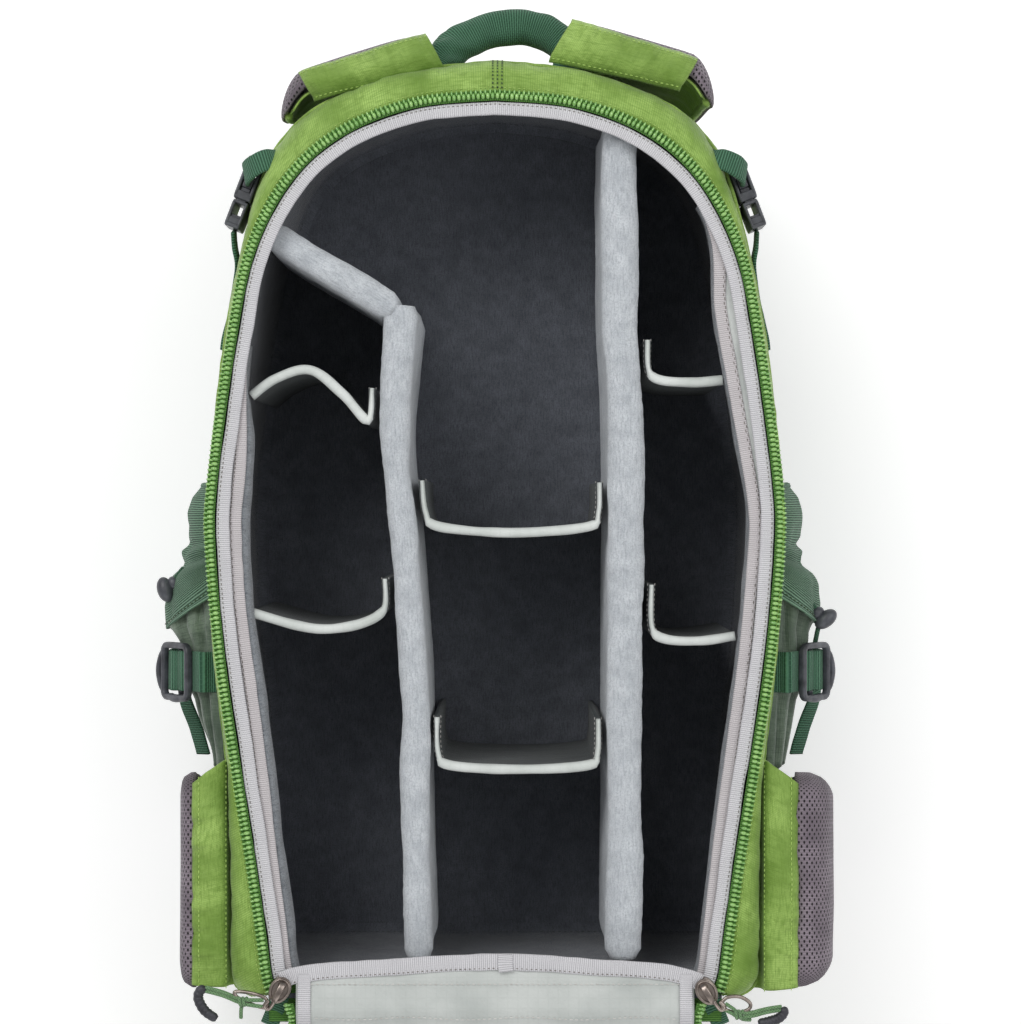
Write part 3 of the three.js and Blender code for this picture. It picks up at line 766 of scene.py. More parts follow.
def build_base():
    """The tougher base panel with its sewn edge."""
    rows = []
    for h, inset in ((4.2, 0), (2.2, 0.6), (0.9, 2.2), (0.5, 5)):
        outline = rounded_rectangle(121 - inset, 74 - inset, 16, 7) + [0, 110]
        rows.append(resample(closed(np.insert(outline, 1, h, axis=1)), 141)[:-1])
    middle = np.array([0, 0.2, 110])
    rows += [middle + (rows[3] - middle) * [s, 1, s] for s in (0.8, 0.55, 0.3, 0.05)]
    lofted("base_cover", "base", "bag_body", soften(rows, 0.25, 30, 11),
           replaces=["base_panel"], wrap=True, thick=2.5)
    stitches("base_stitching", "dark_thread", "bag_body", [(rows[2] + [0, -0.2, 0], (0, -1, 0))], 3.6, 2.5)


# ---------------------------------------------------------------------------------------------------
# Rear gusset, zip and bindings
# ---------------------------------------------------------------------------------------------------
def gusset_rows(count=14):
    """The cloth from the zip out and down to the rear seam, its centre seam pressed in."""
    inner = shifted(zip_arch, 1.9)
    rows = []
    for share in np.linspace(0, 1, count):
        turn = share * math.pi / 2
        reach = (1 - shoulder * 0.35) * math.sin(turn) + shoulder * 0.35 * share
        flat = inner + (body_arch - inner) * reach[:, None]
        rows.append(at_z(flat, SEAM_Z + 0.4 + (REAR_Z - 1.2 - SEAM_Z) * math.cos(turn) ** 0.8))
    rows = np.array(rows)
    gathers = np.linspace(0, 1, count)[:, None] ** 3 * smooth_noise(rows, (5, 5, 90), 21)
    rows = rows + normals_of(rows) * (gathers + smooth_noise(rows, 24, 22))[..., None]
    rows[0] = at_z(inner, REAR_Z - 0.8)
    rows[..., 2] -= 0.5 * bump_at(rows[..., 0], 1, 1.1) * (rows[..., 1] > 400)
    return facing(rows, UP)


def build_gusset():
    rows = gusset_rows()
    lofted("rear_gusset_cloth", "green", "bag_body", rows, replaces=["rear_gusset"], thick=1.0)
    swept("gusset_seam_lip", "strap_green", "bag_body", at_z(shifted(body_arch, 0.5), SEAM_Z - 0.2),
          round_section(0.95, 8), rough=0.25, seed=4, grain=5)
    normals = normals_of(rows)
    edge = [(rows[1] + normals[1] * 0.3, UP)]
    stitches("gusset_stitching", "green_thread", "bag_body", edge, 2.4, 1.5, 0.4)
    centre = []
    for x in (-1.5, 1.1, 3.6):
        column = np.argmin(np.abs(rows[0][:, 0] - x) + (rows[0][:, 1] < 400) * FAR)
        up = normals[1:-1, column]
        centre.append((rows[1:-1, column] + up * 0.4, up))
    stitches("gusset_centre_stitching", "dark_thread", "bag_body", centre, 1.9, 1.4, 0.75)


def build_zip():
    swept("main_zip_tape", "tape", "bag_body", at_z(shifted(zip_arch, -0.2), REAR_Z - 1.0),
          flat_section(5.0, 1.0, 0.4), replaces=["main_zipper"])
    for name, offset, rise, shape, size in (("teeth", -0.5, 0.4, ball(10, 7), (1.02, 1.6, 1.3)),
                                            ("tooth_legs", 1.5, 0.05, ball(8, 5), (0.62, 1.5, 0.8))):
        line = at_z(shifted(zip_arch, offset), REAR_Z + rise)
        beads(f"main_zip_{name}", "teeth", "bag_body", line, TOOTH_PITCH, shape, size)


# The lining's soft rim below the second binding: how far it stands in, and how deep it lies
RIM_ROLL = [(0, 5.2), (2.6, 6.0), (4.6, 8.4), (5.4, 12.5), (5.0, 18), (3.2, 25), (0, 33)]
# The second binding: its top end, the height where it has left the first one, its distance from the
# first one, how much that grows about height 330, and how far the lining's rim stands in
SECOND_BINDING = {"left": (330, 262, 7.0, 0, 0.75), "right": (404, 348, 7.2, 3.6, 0.2)}


def build_bindings():
    """The pale binding inside the zip, a second greyer one along the sides, and their stitching."""
    wave = 0.35 * smooth_noise(at_z(zip_arch, 0), 18, 31)
    swept("opening_binding_tape", "grosgrain", "bag_body",
          at_z(shifted(zip_arch, -6.4 + wave), REAR_Z - 2.3), flat_section(6.6, 2.0),
          replaces=["opening_binding"], rough=0.2, seed=6, grain=6)
    near_zip = [(at_z(shifted(zip_arch, -4.4), REAR_Z - 1.15), UP)]
    stitches("binding_edge_stitching", "brown_thread", "bag_body", near_zip, 2.3, 1.5, 0.5)
    runs = []
    for name, side in SIDES.items():
        top, split, apart, more, rim_reach = SECOND_BINDING[name]
        along = zip_arch[(np.sign(zip_arch[:, 0]) == side) & (zip_arch[:, 1] < top)]
        share = np.clip((top - along[:, 1]) / (top - split), 0, 1)
        share = share * share * (3 - 2 * share)
        drift = 5.4 + (apart + more * bump_at(along[:, 1], 330, 45)) * share
        drift = drift - 3.2 * bump_at(along[:, 1], 20, 70) + 0.6 * smooth_noise(at_z(along, 0), 40, 33)
        swept(f"inner_binding_{name}", "grosgrain_grey", "bag_body",
              at_z(shifted(along, -drift), REAR_Z - 4.6), flat_section(6.2, 1.6),
              rough=0.25, seed=8, grain=7)
        first, second = shifted(along, -8.0), shifted(along, -drift + 1.5)
        band = [at_z(first + (second - first) * t, REAR_Z - 4.4 - 0.6 * t) for t in np.linspace(0, 1, 6)]
        lofted(f"inner_band_{name}", "satin", "bag_body", facing(band, UP), flat_uv=True, thick=0.5)
        reach = np.clip(share * 1.4, 0, 1) * rim_reach
        roll = [at_z(shifted(along, -drift - 2.2 - r * reach), REAR_Z - z) for r, z in RIM_ROLL]
        rim = soften(facing(roll, UP), 0.7, 14, 35)
        # The rim wears the lighter copy of the lining cloth as painted light.
        lofted(f"lining_rim_{name}", "rim", "bag_body", rim, thick=0.8)
        zigzag = np.where(np.arange(len(along)) % 2, 0.45, -0.45)
        runs.append((at_z(shifted(along, -drift + 2.2 + zigzag), REAR_Z - 3.75), UP))
    stitches("binding_stitching", "brown_thread", "bag_body", runs, 2.3, 1.7, 0.5)


# ---------------------------------------------------------------------------------------------------
# Inside: lining and dividers
# ---------------------------------------------------------------------------------------------------
def build_lining():
    loop_zip = np.vstack([zip_arch, at_z(np.linspace(-112, 112, BASE_COUNT), 10)])
    rows = [at_z(loop_zip - loop_out * 7, REAR_Z - 3.4), at_z(loop_zip - loop_out * 8.4, REAR_Z - 5)]
    rows[0][ARCH_COUNT:, 1] = 5.0
    rows[1][ARCH_COUNT:, 1] = 8.0
    rows += [drawn_in(10.5 - 1.2 * math.sin(s * math.pi), 190 - 120 * s) for s in np.linspace(0, 1, 14)]
    rows += [drawn_in(d, z) for d, z in ((11.3, 66.5), (13.5, 64.3), (16.5, FLOOR_Z + 0.1))]
    rows = soften(rows, 0.9, 32, 41)
    lofted("lining_walls", "loop", "bag_body", rows, replaces=["lining"], wrap=True)
    floor = fan_rows(rows[-1], BODY_CENTRE, [1, 0.93, 0.84, 0.72, 0.58, 0.42, 0.25, 0.08, 0.002], 0.5)
    floor = np.array(floor)
    floor[..., 2] += 0.5 * smooth_noise(floor, 40, 43)
    lofted("lining_floor", "loop", "bag_body", floor, wrap=True, flat_uv=True)
    seam = [(drawn_in(12.1, 67.2), -loop_up)]
    stitches("lining_stitching", "lining_thread", "bag_body", seam, 3.2, 2.2, 0.5)


DIVIDER_TOP = 200
LONG_DIVIDERS = {
    "divider_right": (18, [(62, 441), (62, 350), (65, 260), (64, 23)]),
    "divider_left": (14, [(-46.5, 348), (-50, 285), (-45, 227), (-40, 150), (-40, 103), (-38, 23)]),
    "divider_diagonal": (14, [(-112, 384), (-96, 374), (-74, 361), (-50, 346)]),
}
CROSS_TOP = 197
CROSS_DIVIDERS = {
    "cross_left_upper": [(-121.5, 303), (-109, 312), (-92, 316), (-76, 304), (-63.5, 291), (-61.4, 307)],
    "cross_left_lower": [(-121, 195), (-100, 189), (-84, 187), (-66, 190), (-55.5, 197), (-55, 212)],
    "cross_centre_upper": [(-36.4, 261), (-34.6, 245), (-28, 238), (8, 235), (46, 238), (51.4, 245),
                           (51.9, 260)],
    "cross_centre_lower": [(-29, 143), (-28.4, 125), (-22, 119), (11, 117), (46, 119), (51, 125),
                           (51.4, 142)],
    "cross_right_upper": [(76, 331), (76.6, 316), (83, 311), (100, 310), (113.5, 311)],
    "cross_right_lower": [(78, 209), (78.2, 188), (85, 182), (102, 181), (119.5, 183.5)],
}


def wall_section(width, low, high, edge):
    """A padded wall's section: soft sides that draw in at the top and bottom, and a round top."""
    turns = np.radians(np.linspace(-10, 190, 13))
    top = np.column_stack([width / 2 * np.cos(turns), high - edge + edge * np.sin(turns)])
    share = np.array([(1.0, 0.75), (1.04, 0.5), (1.0, 0.25), (0.86, 0.06), (0.6, 0)])
    left = share * [-width / 2, high - low - edge] + [0, low]
    return np.vstack([top, left, left[::-1] * [-1, 1]])


def build_long_dividers():
    for seed, (name, (width, keys)) in enumerate(LONG_DIVIDERS.items()):
        path = at_z(spline(keys, max(30, int(arc(keys)[-1] / 2.4))), 0)
        ends = arc(path)
        from_end = np.minimum(ends, ends[-1] - ends)
        taper = np.sqrt(np.clip(1 - (1 - np.clip(from_end / 5, 0, 1)) ** 2, 0.55, 1))
        if name == "divider_left":
            taper = taper * (1 + 0.28 * bump_at(ends, 0, 34))
        rows = sweep_rows(path, wall_section(width, FLOOR_Z, DIVIDER_TOP + 0.6, 5.5), scale=at_z(taper, 1))
        lift = np.clip((rows[..., 2] - FLOOR_Z) / 60, 0, 1)
        normals = normals_of(rows)
        for amount, size, start in ((0.9, 24, 50), (0.25, 3.5, 60)):
            rows = rows + normals * (amount * smooth_noise(rows, size, start + seed) * lift)[..., None]
        pad = lofted(name + "_pad", "velour", "bag_body", rows, replaces=[name], wrap=True, caps=True)


def build_cross_dividers():
    """Thin stiffened sheets with a pale bound top edge and a hook tab folded along the wall at each end."""
    for seed, (name, keys) in enumerate(CROSS_DIVIDERS.items()):
        flat = spline(keys, 60)
        path = at_z(flat, 0)
        rows = sweep_rows(path, wall_section(3.4, FLOOR_Z + 0.3, CROSS_TOP - 3.5, 1.6))
        rows = soften(rows, 0.5, 22, 70 + seed)
        lofted(name + "_sheet", "divider", name, rows, replaces=[name], wrap=True, caps=True)
        dip = 1.2 * smooth_noise(path, 26, 80 + seed)
        turned = 1 - np.abs(unit(np.gradient(flat, axis=0))[:, 0])
        width = 1 - 0.5 * np.clip((turned - 0.3) / 0.4, 0, 1)
        swept(name + "_edge", "divider_edge", name, at_z(flat, CROSS_TOP - 2.6 + dip),
              flat_section(4.8, 5.2, 2.2, 4), rough=0.3, seed=90 + seed, scale=at_z(width, 1))
        runs = [(at_z(shifted(flat, offset), CROSS_TOP - 6.6), UP) for offset in (1.75, -1.75)]
        stitches(name + "_stitching", "pale_thread", name, runs, 2.4, 1.6, 0.4)


# ---------------------------------------------------------------------------------------------------
# Rear panel, folded down over the base
# ---------------------------------------------------------------------------------------------------
HINGE_Z = 212.5
PANEL_LENGTH, PANEL_THICK = 444, 20
PANEL_LEAN = (math.asin((HINGE_Z - 0.3) / math.hypot(PANEL_LENGTH, PANEL_THICK))
              - math.atan2(PANEL_THICK, PANEL_LENGTH))
PANEL_CENTRE = (0, 225)
PANEL_OUTER_Z = 13
panel_arch = arch(PANEL_LINE, 360)


def on_panel(points):
    """Points drawn with the panel closed (z 0 on its lining, growing outwards) as they lie when open."""
    x, h, z = np.moveaxis(np.asarray(points, float), -1, 0)
    cos, sin = math.cos(math.pi + PANEL_LEAN), math.sin(math.pi + PANEL_LEAN)
    return np.stack([x, h * cos - z * sin, HINGE_Z + h * sin + z * cos], -1)


LINING_UP = on_panel((0, 0, -1)) - on_panel((0, 0, 0))


def panel_loop(inset):
    """The panel's closed outline, moved inwards."""
    flat = shifted(panel_arch, -inset)
    foot = np.linspace(flat[-1][0], flat[0][0], 62)[1:-1]
    return np.vstack([flat, at_z(foot, flat[0][1] + inset)])


def panel_zip_line(offset):
    """The panel's zip line, with its free ends running in to the hinge."""
    edge = shifted(panel_arch, offset)[8:-8]
    lead = [(100.5 + offset, -2.5), (99.6 + offset, 2), (98.6 + offset, 6)]
    away = [(-x, h) for x, h in lead[::-1]]
    return spline(np.vstack([lead, edge[::6], away]), 420)


def build_rear_panel():
    edge = ((7, 0.2), (2.2, 0.5), (0.6, 1.8), (0, 4), (0, 8), (1.2, 11), (4, 12.4), (9, PANEL_OUTER_Z))
    rows = [at_z(panel_loop(inset), z) for inset, z in edge]
    inner = fan_rows(rows[0], PANEL_CENTRE, (0.002, 0.3, 0.6, 0.85, 0.96), 0)
    outer = fan_rows(rows[-1], PANEL_CENTRE, (0.96, 0.8, 0.5, 0.2, 0.002), 0)
    lining = on_panel(soften(inner + rows[:3], 0.3, 40, 101, folds=0.25))
    lofted("panel_lining", "satin", "rear_panel", lining, replaces=["rear_panel"], wrap=True, flat_uv=True)
    shell = on_panel(soften(rows[2:] + outer, 0.4, 30, 103, folds=0.3))
    lofted("panel_shell", "green", "rear_panel", shell, wrap=True, flat_uv=True)
    swept("panel_zip_tape", "tape", "rear_panel", on_panel(at_z(panel_zip_line(1.0), 2.0)),
          flat_section(4.6, 1.0, 0.4), up=LINING_UP, replaces=["panel_zipper"])
    for name, offset, size in (("teeth", 2.4, (0.98, 1.3, 1.2)), ("legs", 1.0, (0.55, 1.2, 0.8))):
        line = on_panel(at_z(panel_zip_line(offset), 1.4))
        beads(f"panel_zip_{name}", "teeth", "rear_panel", line, TOOTH_PITCH, ball(8, 6), size, LINING_UP)
    swept("panel_binding", "grosgrain", "rear_panel", on_panel(at_z(shifted(panel_arch, -3.8), 0.1)),
          flat_section(6.6, 1.4), up=LINING_UP, rough=0.15, seed=5, grain=6)
    runs = [(on_panel(at_z(shifted(panel_arch, -d), -0.6)), LINING_UP) for d in (6.2, 9.0)]
    stitches("panel_binding_stitching", "pale_thread", "rear_panel", runs, 2.6, 1.9, 0.45)


def build_panel_pockets():
    """Two zipped mesh pockets on the lining side."""
    a, b = np.meshgrid(np.linspace(0, 1, 60), np.linspace(0, 1, 50))
    for name, low, high, low_half, high_half in (("lower", 46, 205, 92, 116), ("upper", 226, 395, 118, 84)):
        half = low_half + (high_half - low_half) * b
        flat = np.dstack([half * (2 * a - 1), low + (high - low) * b])
        puff = -1.0 - 2.2 * (np.sin(a * math.pi) * np.sin(b * math.pi)) ** 0.6
        rows = np.dstack([flat, puff + 0.35 * smooth_noise(np.dstack([flat, puff]), 26, 111)])
        piece = f"panel_pocket_{name}"
        lofted(piece, "mesh", "rear_panel", on_panel(rows), flat_uv=True, thick=0.5)
        corners = [(-low_half, low), (low_half, low), (high_half, high), (-high_half, high)]
        border = on_panel(at_z(resample(closed(corners), 200), -1.2))
        zip_line = on_panel([(x, high - 14, -3.4) for x in np.linspace(-high_half + 6, high_half - 6, 90)])
        for part, line, section in (("binding", border, (7, 1.2)), ("tape", zip_line, (9, 1.0))):
            swept(f"{piece}_{part}", "grosgrain_grey", "rear_panel", line, flat_section(*section),
                  up=LINING_UP)
        beads(f"{piece}_teeth", "plastic", "rear_panel", zip_line + LINING_UP * 0.7, 1.6, ball(6, 5),
              (0.55, 1.7, 0.6), LINING_UP)


BACK_PADS = [
    # name, lowest and highest h, inner and outer x at the low end, inner and outer x at the high end
    ("lumbar", 38, 132, -84, 84, -100, 100),
    ("left_middle", 146, 262, -109, -14, -116, -14),
    ("right_middle", 146, 262, 14, 109, 14, 116),
    ("left_top", 276, 398, -112, -14, -82, -14),
    ("right_top", 276, 398, 14, 112, 14, 82),
]
# A back pad from its foot to its crown: the share of its outline, and z
PAD_PROFILE = [(1.0, 12.9), (1.01, 14.5), (0.99, 16.6), (0.95, 18.2), (0.88, 19.3), (0.76, 19.9),
               (0.6, 20.1), (0.4, 20.2), (0.2, 20.2), (0.002, 20.2)]


def build_back_pads():
    radius = 16
    for seed, (name, low, high, in0, out0, in1, out1) in enumerate(BACK_PADS):
        corners = np.array([(in0, low), (out0, low), (out1, high), (in1, high)], float)
        keys = []
        for before, here, after in zip(np.roll(corners, 1, 0), corners, np.roll(corners, -1, 0)):
            start = here + unit(before - here) * radius
            end = here + unit(after - here) * radius
            keys += [(1 - t) ** 2 * start + 2 * t * (1 - t) * here + t * t * end
                     for t in np.linspace(0, 1, 7)]
        outline = resample(closed(keys), 161)[:-1]
        middle = outline.mean(axis=0)
        rows = [shrunk(outline, middle, share, z) for share, z in PAD_PROFILE]
        pad = lofted(f"back_pad_{name}", "mesh", "rear_panel", on_panel(soften(rows, 0.35, 22, 120 + seed)),
                     replaces=["back_pad"], wrap=True, flat_uv=True)
        swept(f"back_pad_{name}_piping", "strap_green", "rear_panel",
              on_panel(shrunk(closed(outline), middle, 1.01, 13.4)), round_section(1.1, 8), up=-LINING_UP)


# The hinge cloth's profile (h, z), from under the arched binding over the base edge to the panel
HINGE_PROFILE = [(25.5, 210.6), (18, 210.9), (10, 211.3), (4, 211.9), (0, 212.3), (-4, 211.0),
                 (-9, 208.4), (-15, 205.4), (-22, 202.0)]
ARCHED_BINDING = [(-105, 14.5), (-98, 17.2), (-80, 19.5), (-40, 22), (4, 23.6), (45, 21.6), (80, 18.8),
                  (95, 16), (101, 13.5)]


def build_hinge():
    """The lining that runs from the arched binding over the base edge on to the panel."""
    line = resample(HINGE_PROFILE, 40)
    across = np.linspace(-1, 1, 90)
    rows = []
    for h, z in line:
        half = 98 if h > -14 else 96
        rows.append(np.column_stack([across * half, h - max(h - 12, 0) * 0.55 * across**2, np.full(90, z)]))
    rows = np.array(rows)
    creases = 0.5 * smooth_noise(rows, (5, 40, 60), 131) * bump_at(rows[..., 1], 14, 9)
    rows[..., 2] += 0.35 * smooth_noise(rows, 22, 130) + creases
    pieces = [lofted("hinge_lining", "satin", None, facing(rows, UP), replaces=["hinge_strip"],
                     flat_uv=True, thick=0.9)]
    for name, side in SIDES.items():
        keys = [(side * 94, h, z + 0.8) for h, z in line if h < 19]
        pieces.append(swept(f"hinge_binding_{name}", "grosgrain", None, keys, flat_section(6.4, 1.3),
                            rough=0.15, seed=14))
    edge = [(x, -4 + 0.6 * math.sin(x / 9), 211.7) for x in np.linspace(-88, 88, 120)]
    inside = [(x, 13, 212.0) for x in np.linspace(-90, 90, 90)]
    centres, axes = zip(spaced(edge, 2.6), spaced(inside, 2.6))
    rows = scatter("hinge_stitching", STITCH, np.vstack(centres), np.vstack(axes), (0.95, 0.25, 0.22))
    pieces.append(dress(rows, "pale_thread"))
    for piece in pieces:
        world((0, 4, 212))
        world((0, -5, 211))
        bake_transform(piece)
    band = at_z(spline(ARCHED_BINDING, 150), 211.2)
    band[:, 1] += 0.5 * smooth_noise(band, 16, 133)
    swept("hinge_arched_binding", "grosgrain", "bag_body", band, flat_section(8.2, 1.5),
          rough=0.25, seed=15, grain=7)
    overlap = spline([(5.2, 27.8, 212.4), (5.0, 23.5, 212.4), (5.4, 19.2, 212.4)], 12)
    swept("hinge_binding_overlap", "grosgrain", "bag_body", overlap, flat_section(7.2, 0.8))
    runs = [(band - [0, 3.0, -0.8], UP)]
    stitches("hinge_binding_stitching", "brown_thread", "bag_body", runs, 2.3, 1.2, 0.6)


# ---------------------------------------------------------------------------------------------------
# Top end: handle and shoulder straps
# ---------------------------------------------------------------------------------------------------
HANDLE_LINE = [(-31, 468, 178), (-27, 475, 176), (-16, 484, 171), (-2, 490.5, 167), (14, 492, 166),
               (28, 487.5, 168), (38, 478, 172), (41, 470, 174)]


def build_handle():
    """Padded handle of rolled webbing, tucked in behind the strap roots at both feet."""
    path = spline(HANDLE_LINE, 110)
    along = arc(path) / arc(path)[-1]
    width = 1 - 0.28 * (bump_at(along, 0, 0.12) + bump_at(along, 1, 0.12))
    section = flat_section(17.5, 17, 6.5, 5)
    rows = sweep_rows(path, section, scale=at_z(width, 1))
    waves = np.sin(np.arange(len(section)) * 1.1 + along[:, None] * 30)
    move = 1.1 * bump_at(along, 0.12, 0.09)[:, None] * waves + 0.5 * smooth_noise(rows, (7, 7, 30), 140)
    rows = rows + normals_of(rows) * move[..., None]
    lofted("carry_handle_roll", "webbing", "carry_handle", rows, replaces=["carry_handle"],
           wrap=True, caps=True)
    for name, x, lean in (("left", -28, 4), ("right", 38, -4)):
        foot = spline([(x, 475, 176), (x + lean / 2, 466, 184), (x + lean, 458, 189)], 20)
        swept(f"handle_foot_{name}", "webbing", "bag_body", foot, flat_section(16, 3),
              up=(0, 0.5, 1), rough=0.3)


def on_strap(side, points):
    """Strap coordinates (x outwards from its middle line, p away from the bag, z) in the bag's."""
    x, p, z = np.moveaxis(np.asarray(points, float), -1, 0)
    turn = math.radians(17)
    return np.stack([side * (68 + x * math.cos(turn) + p * math.sin(turn)),
                     458.6 - x * math.sin(turn) + p * math.cos(turn), z], -1)


# How far each root stands out from the bag, and its seam's distance at its inner and outer end
ROOT_SHAPE = {"left": (15.5, -3.5, 1.5), "right": (23, 1.5, 6.5)}


def build_strap_root(name, side):
    """The green sewn flap that carries a shoulder strap, gathered along its front fold."""
    body = f"shoulder_strap_{name}"
    depth, seam_start, seam_end = ROOT_SHAPE[name]
    across = np.linspace(0, 1, 70)
    profile = spline([(-2.4, 192), (2, 197), (depth * 0.45, 199.5), (depth * 0.82, 197.5), (depth, 192.5),
                      (depth * 0.98, 186), (depth * 0.9, 176)], 34)
    rows = []
    for p, z in profile:
        share = np.clip(p / 20, 0, 1)
        inner, outer = -43 + 5 * share, 24 + 4 * share**0.7
        lower = 2.5 * np.clip(np.abs(across * 2 - 1) - 0.86, 0, 1) / 0.14
        tilt = (seam_start + (seam_end - seam_start) * across) * np.clip(1 - p / depth, 0, 1)
        rows.append(np.column_stack([inner + (outer - inner) * across, p + tilt, z - lower]))
    rows = np.array(rows)
    near_fold = bump_at(rows[..., 1], depth * 0.86, depth * 0.3)
    puckers = 2.0 * near_fold * smooth_noise(rows, (4.5, 60, 60), 150 + side)
    rows[..., 2] += puckers + 2.0 * smooth_noise(rows, (13, 19, 40), 152 + side)
    lofted(f"strap_root_flap_{name}", "strap_green", body, facing(on_strap(side, rows), UP),
           replaces=[f"strap_root_{name}"], thick=1.6)
    fold = np.argmin(np.abs(profile[:, 0] - depth * 0.9) + (profile[:, 1] < 190) * FAR)
    runs = [(on_strap(side, line + [0, 0, 0.4]), UP) for line in (rows[fold][1:-1], rows[2][2:-2])]
    stitches(f"strap_root_stitching_{name}", "green_thread", body, runs, 2.5, 1.8, 0.55)


def curled(points):
    """Bends the pad's outer edge back round the bag's shoulder, less so further down."""
    points = np.asarray(points, float)
    beyond = np.clip((points[..., 0] - 24) / 20, 0, 1.3)
    bend = np.clip((points[..., 2] - 40) / 60, 0, 1)
    return points - (17 * beyond**1.8 * bend)[..., None] * [0, 1, 0.35]


def build_shoulder_pad(name, side):
    """The air-mesh pad with its green inner face and bound edges, running down and in under the bag."""
    body = f"shoulder_strap_{name}"
    depth = ROOT_SHAPE[name][0]
    count = 96
    line = spline([(depth - 7, 193), (depth - 3.5, 183), (depth - 4, 165), (13.5, 135), (11, 100), (9, 60),
                   (6, 30), (-2, 17), (-14, 14), (-32, 14), (-50, 14)], count)
    along = arc(line) / arc(line)[-1]
    half_in = 37 - 3 * np.clip(along * 3, 0, 1)
    half_out = 44 - 9 * np.clip(along * 2.2, 0, 1) - 5 * bump_at(along, 0, 0.03)
    thick = 5.2 + 0.8 * bump_at(along, 0.35, 0.3)
    out = -outward(line)
    out = out * np.where(out[:1, 0] < 0, -1, 1)
    turns = np.linspace(0, 2 * math.pi, 56, endpoint=False)
    wide = np.sign(np.cos(turns)) * np.abs(np.cos(turns)) ** 0.34
    tall = np.sign(np.sin(turns)) * np.abs(np.sin(turns)) ** 0.8
    rows, inner_rows = [], []
    for middle, o, a, b, t in zip(line, out, half_in, half_out, thick):
        x = np.where(wide > 0, wide * b, wide * a)
        rows.append(np.column_stack([x, middle + (t * tall)[:, None] * o]))
        x = np.linspace(-a + 6, b - 4, 40)
        inner_rows.append(np.column_stack([x, np.broadcast_to(middle - o * (t + 0.7), (40, 2))]))
    rows = np.array(rows)
    from_end = np.minimum(np.arange(count), np.arange(count)[::-1])
    close = np.clip(from_end / 4, 0.25, 1) ** 0.5
    centre = rows.mean(axis=1, keepdims=True)
    rows = np.where(np.arange(3) > 0, centre + (rows - centre) * close[:, None, None], rows)
    rows = soften(rows, 0.6, 26, 160 + side)
    pad = lofted(f"shoulder_pad_mesh_{name}", "mesh", body, on_strap(side, curled(rows)),
                 replaces=[f"shoulder_pad_{name}"], wrap=True, caps=True)
    inner_rows = np.array(inner_rows[:64])
    inner_rows[..., 1] += 0.9 * smooth_noise(inner_rows, (30, 30, 7), 165 + side)
    inner_rows = facing(on_strap(side, curled(inner_rows)), (0, -1, 0))
    lofted(f"shoulder_pad_lining_{name}", "strap_green", body, inner_rows, thick=0.9)
    for edge, half, deep in (("inner", -half_in + 0.4, 2.6), ("outer", half_out - 3.6, 5.0)):
        path = np.column_stack([half, line - out * deep])[3:90]
        swept(f"shoulder_pad_binding_{edge}_{name}", "strap_green", body, on_strap(side, curled(path)),
              round_section(2.0, 10), up=(0, 1, 0.3), rough=0.3, seed=9, grain=4)


def prism(name, place, shapes):
    """Solid plates as one piece. Each shape is (outline in u and v, low w, high w); place maps u, v, w."""
    points, faces = [], []
    for outline, low, high in shapes:
        start, count = len(points), len(outline)
        points += [(u, v, w) for w in (low, high) for u, v in outline]
        faces.append([start + i for i in range(count)][::-1])
        faces.append([start + count + i for i in range(count)])
        for i in range(count):
            j = (i + 1) % count
            faces.append([start + i, start + j, start + count + j, start + count + i])
    return make_mesh(name, place(np.array(points, float)), faces, solid=True, smooth=False)


def build_strap_hardware(name, side):
    """Adjusters keep their CAD shape; the webbing lies flat along the front of the bag."""
    route = mirrored([(48, 383, 28), (48, 374, 28), (88, 356, 28), (117, 322, 28), (119, 60, 28)], side)
    swept(f"strap_webbing_band_{name}", "webbing", "bag_body", spline(route, 160), flat_section(20, 1.8),
          replaces=[f"strap_webbing_{name}"], rough=0.2, seed=12)
    dress(frame["nodes"][f"strap_adjuster_{name}"], "plastic", bevel=0.6)


# ---------------------------------------------------------------------------------------------------
# Sides: hip wings, pockets, straps and buckles
# ---------------------------------------------------------------------------------------------------
WING_HALF = 4.2
WING_X, WING_Z = 149, 197.5  # where the wing is sewn in
WING_LOW, WING_HIGH = 9, 116
WING_PROFILE = [(149, 197.5), (156, 195.2), (163, 188), (167, 172), (167.6, 150), (167.6, 100),
                (167.4, 74), (165.6, 60)]
WING_STRIP = [(129.5, 188.5), (132.4, 192.5), (134, 198.8), (137, 201.6), (142, 202.2), (148, 201.8),
              (150.4, 200), (150.8, 197)]


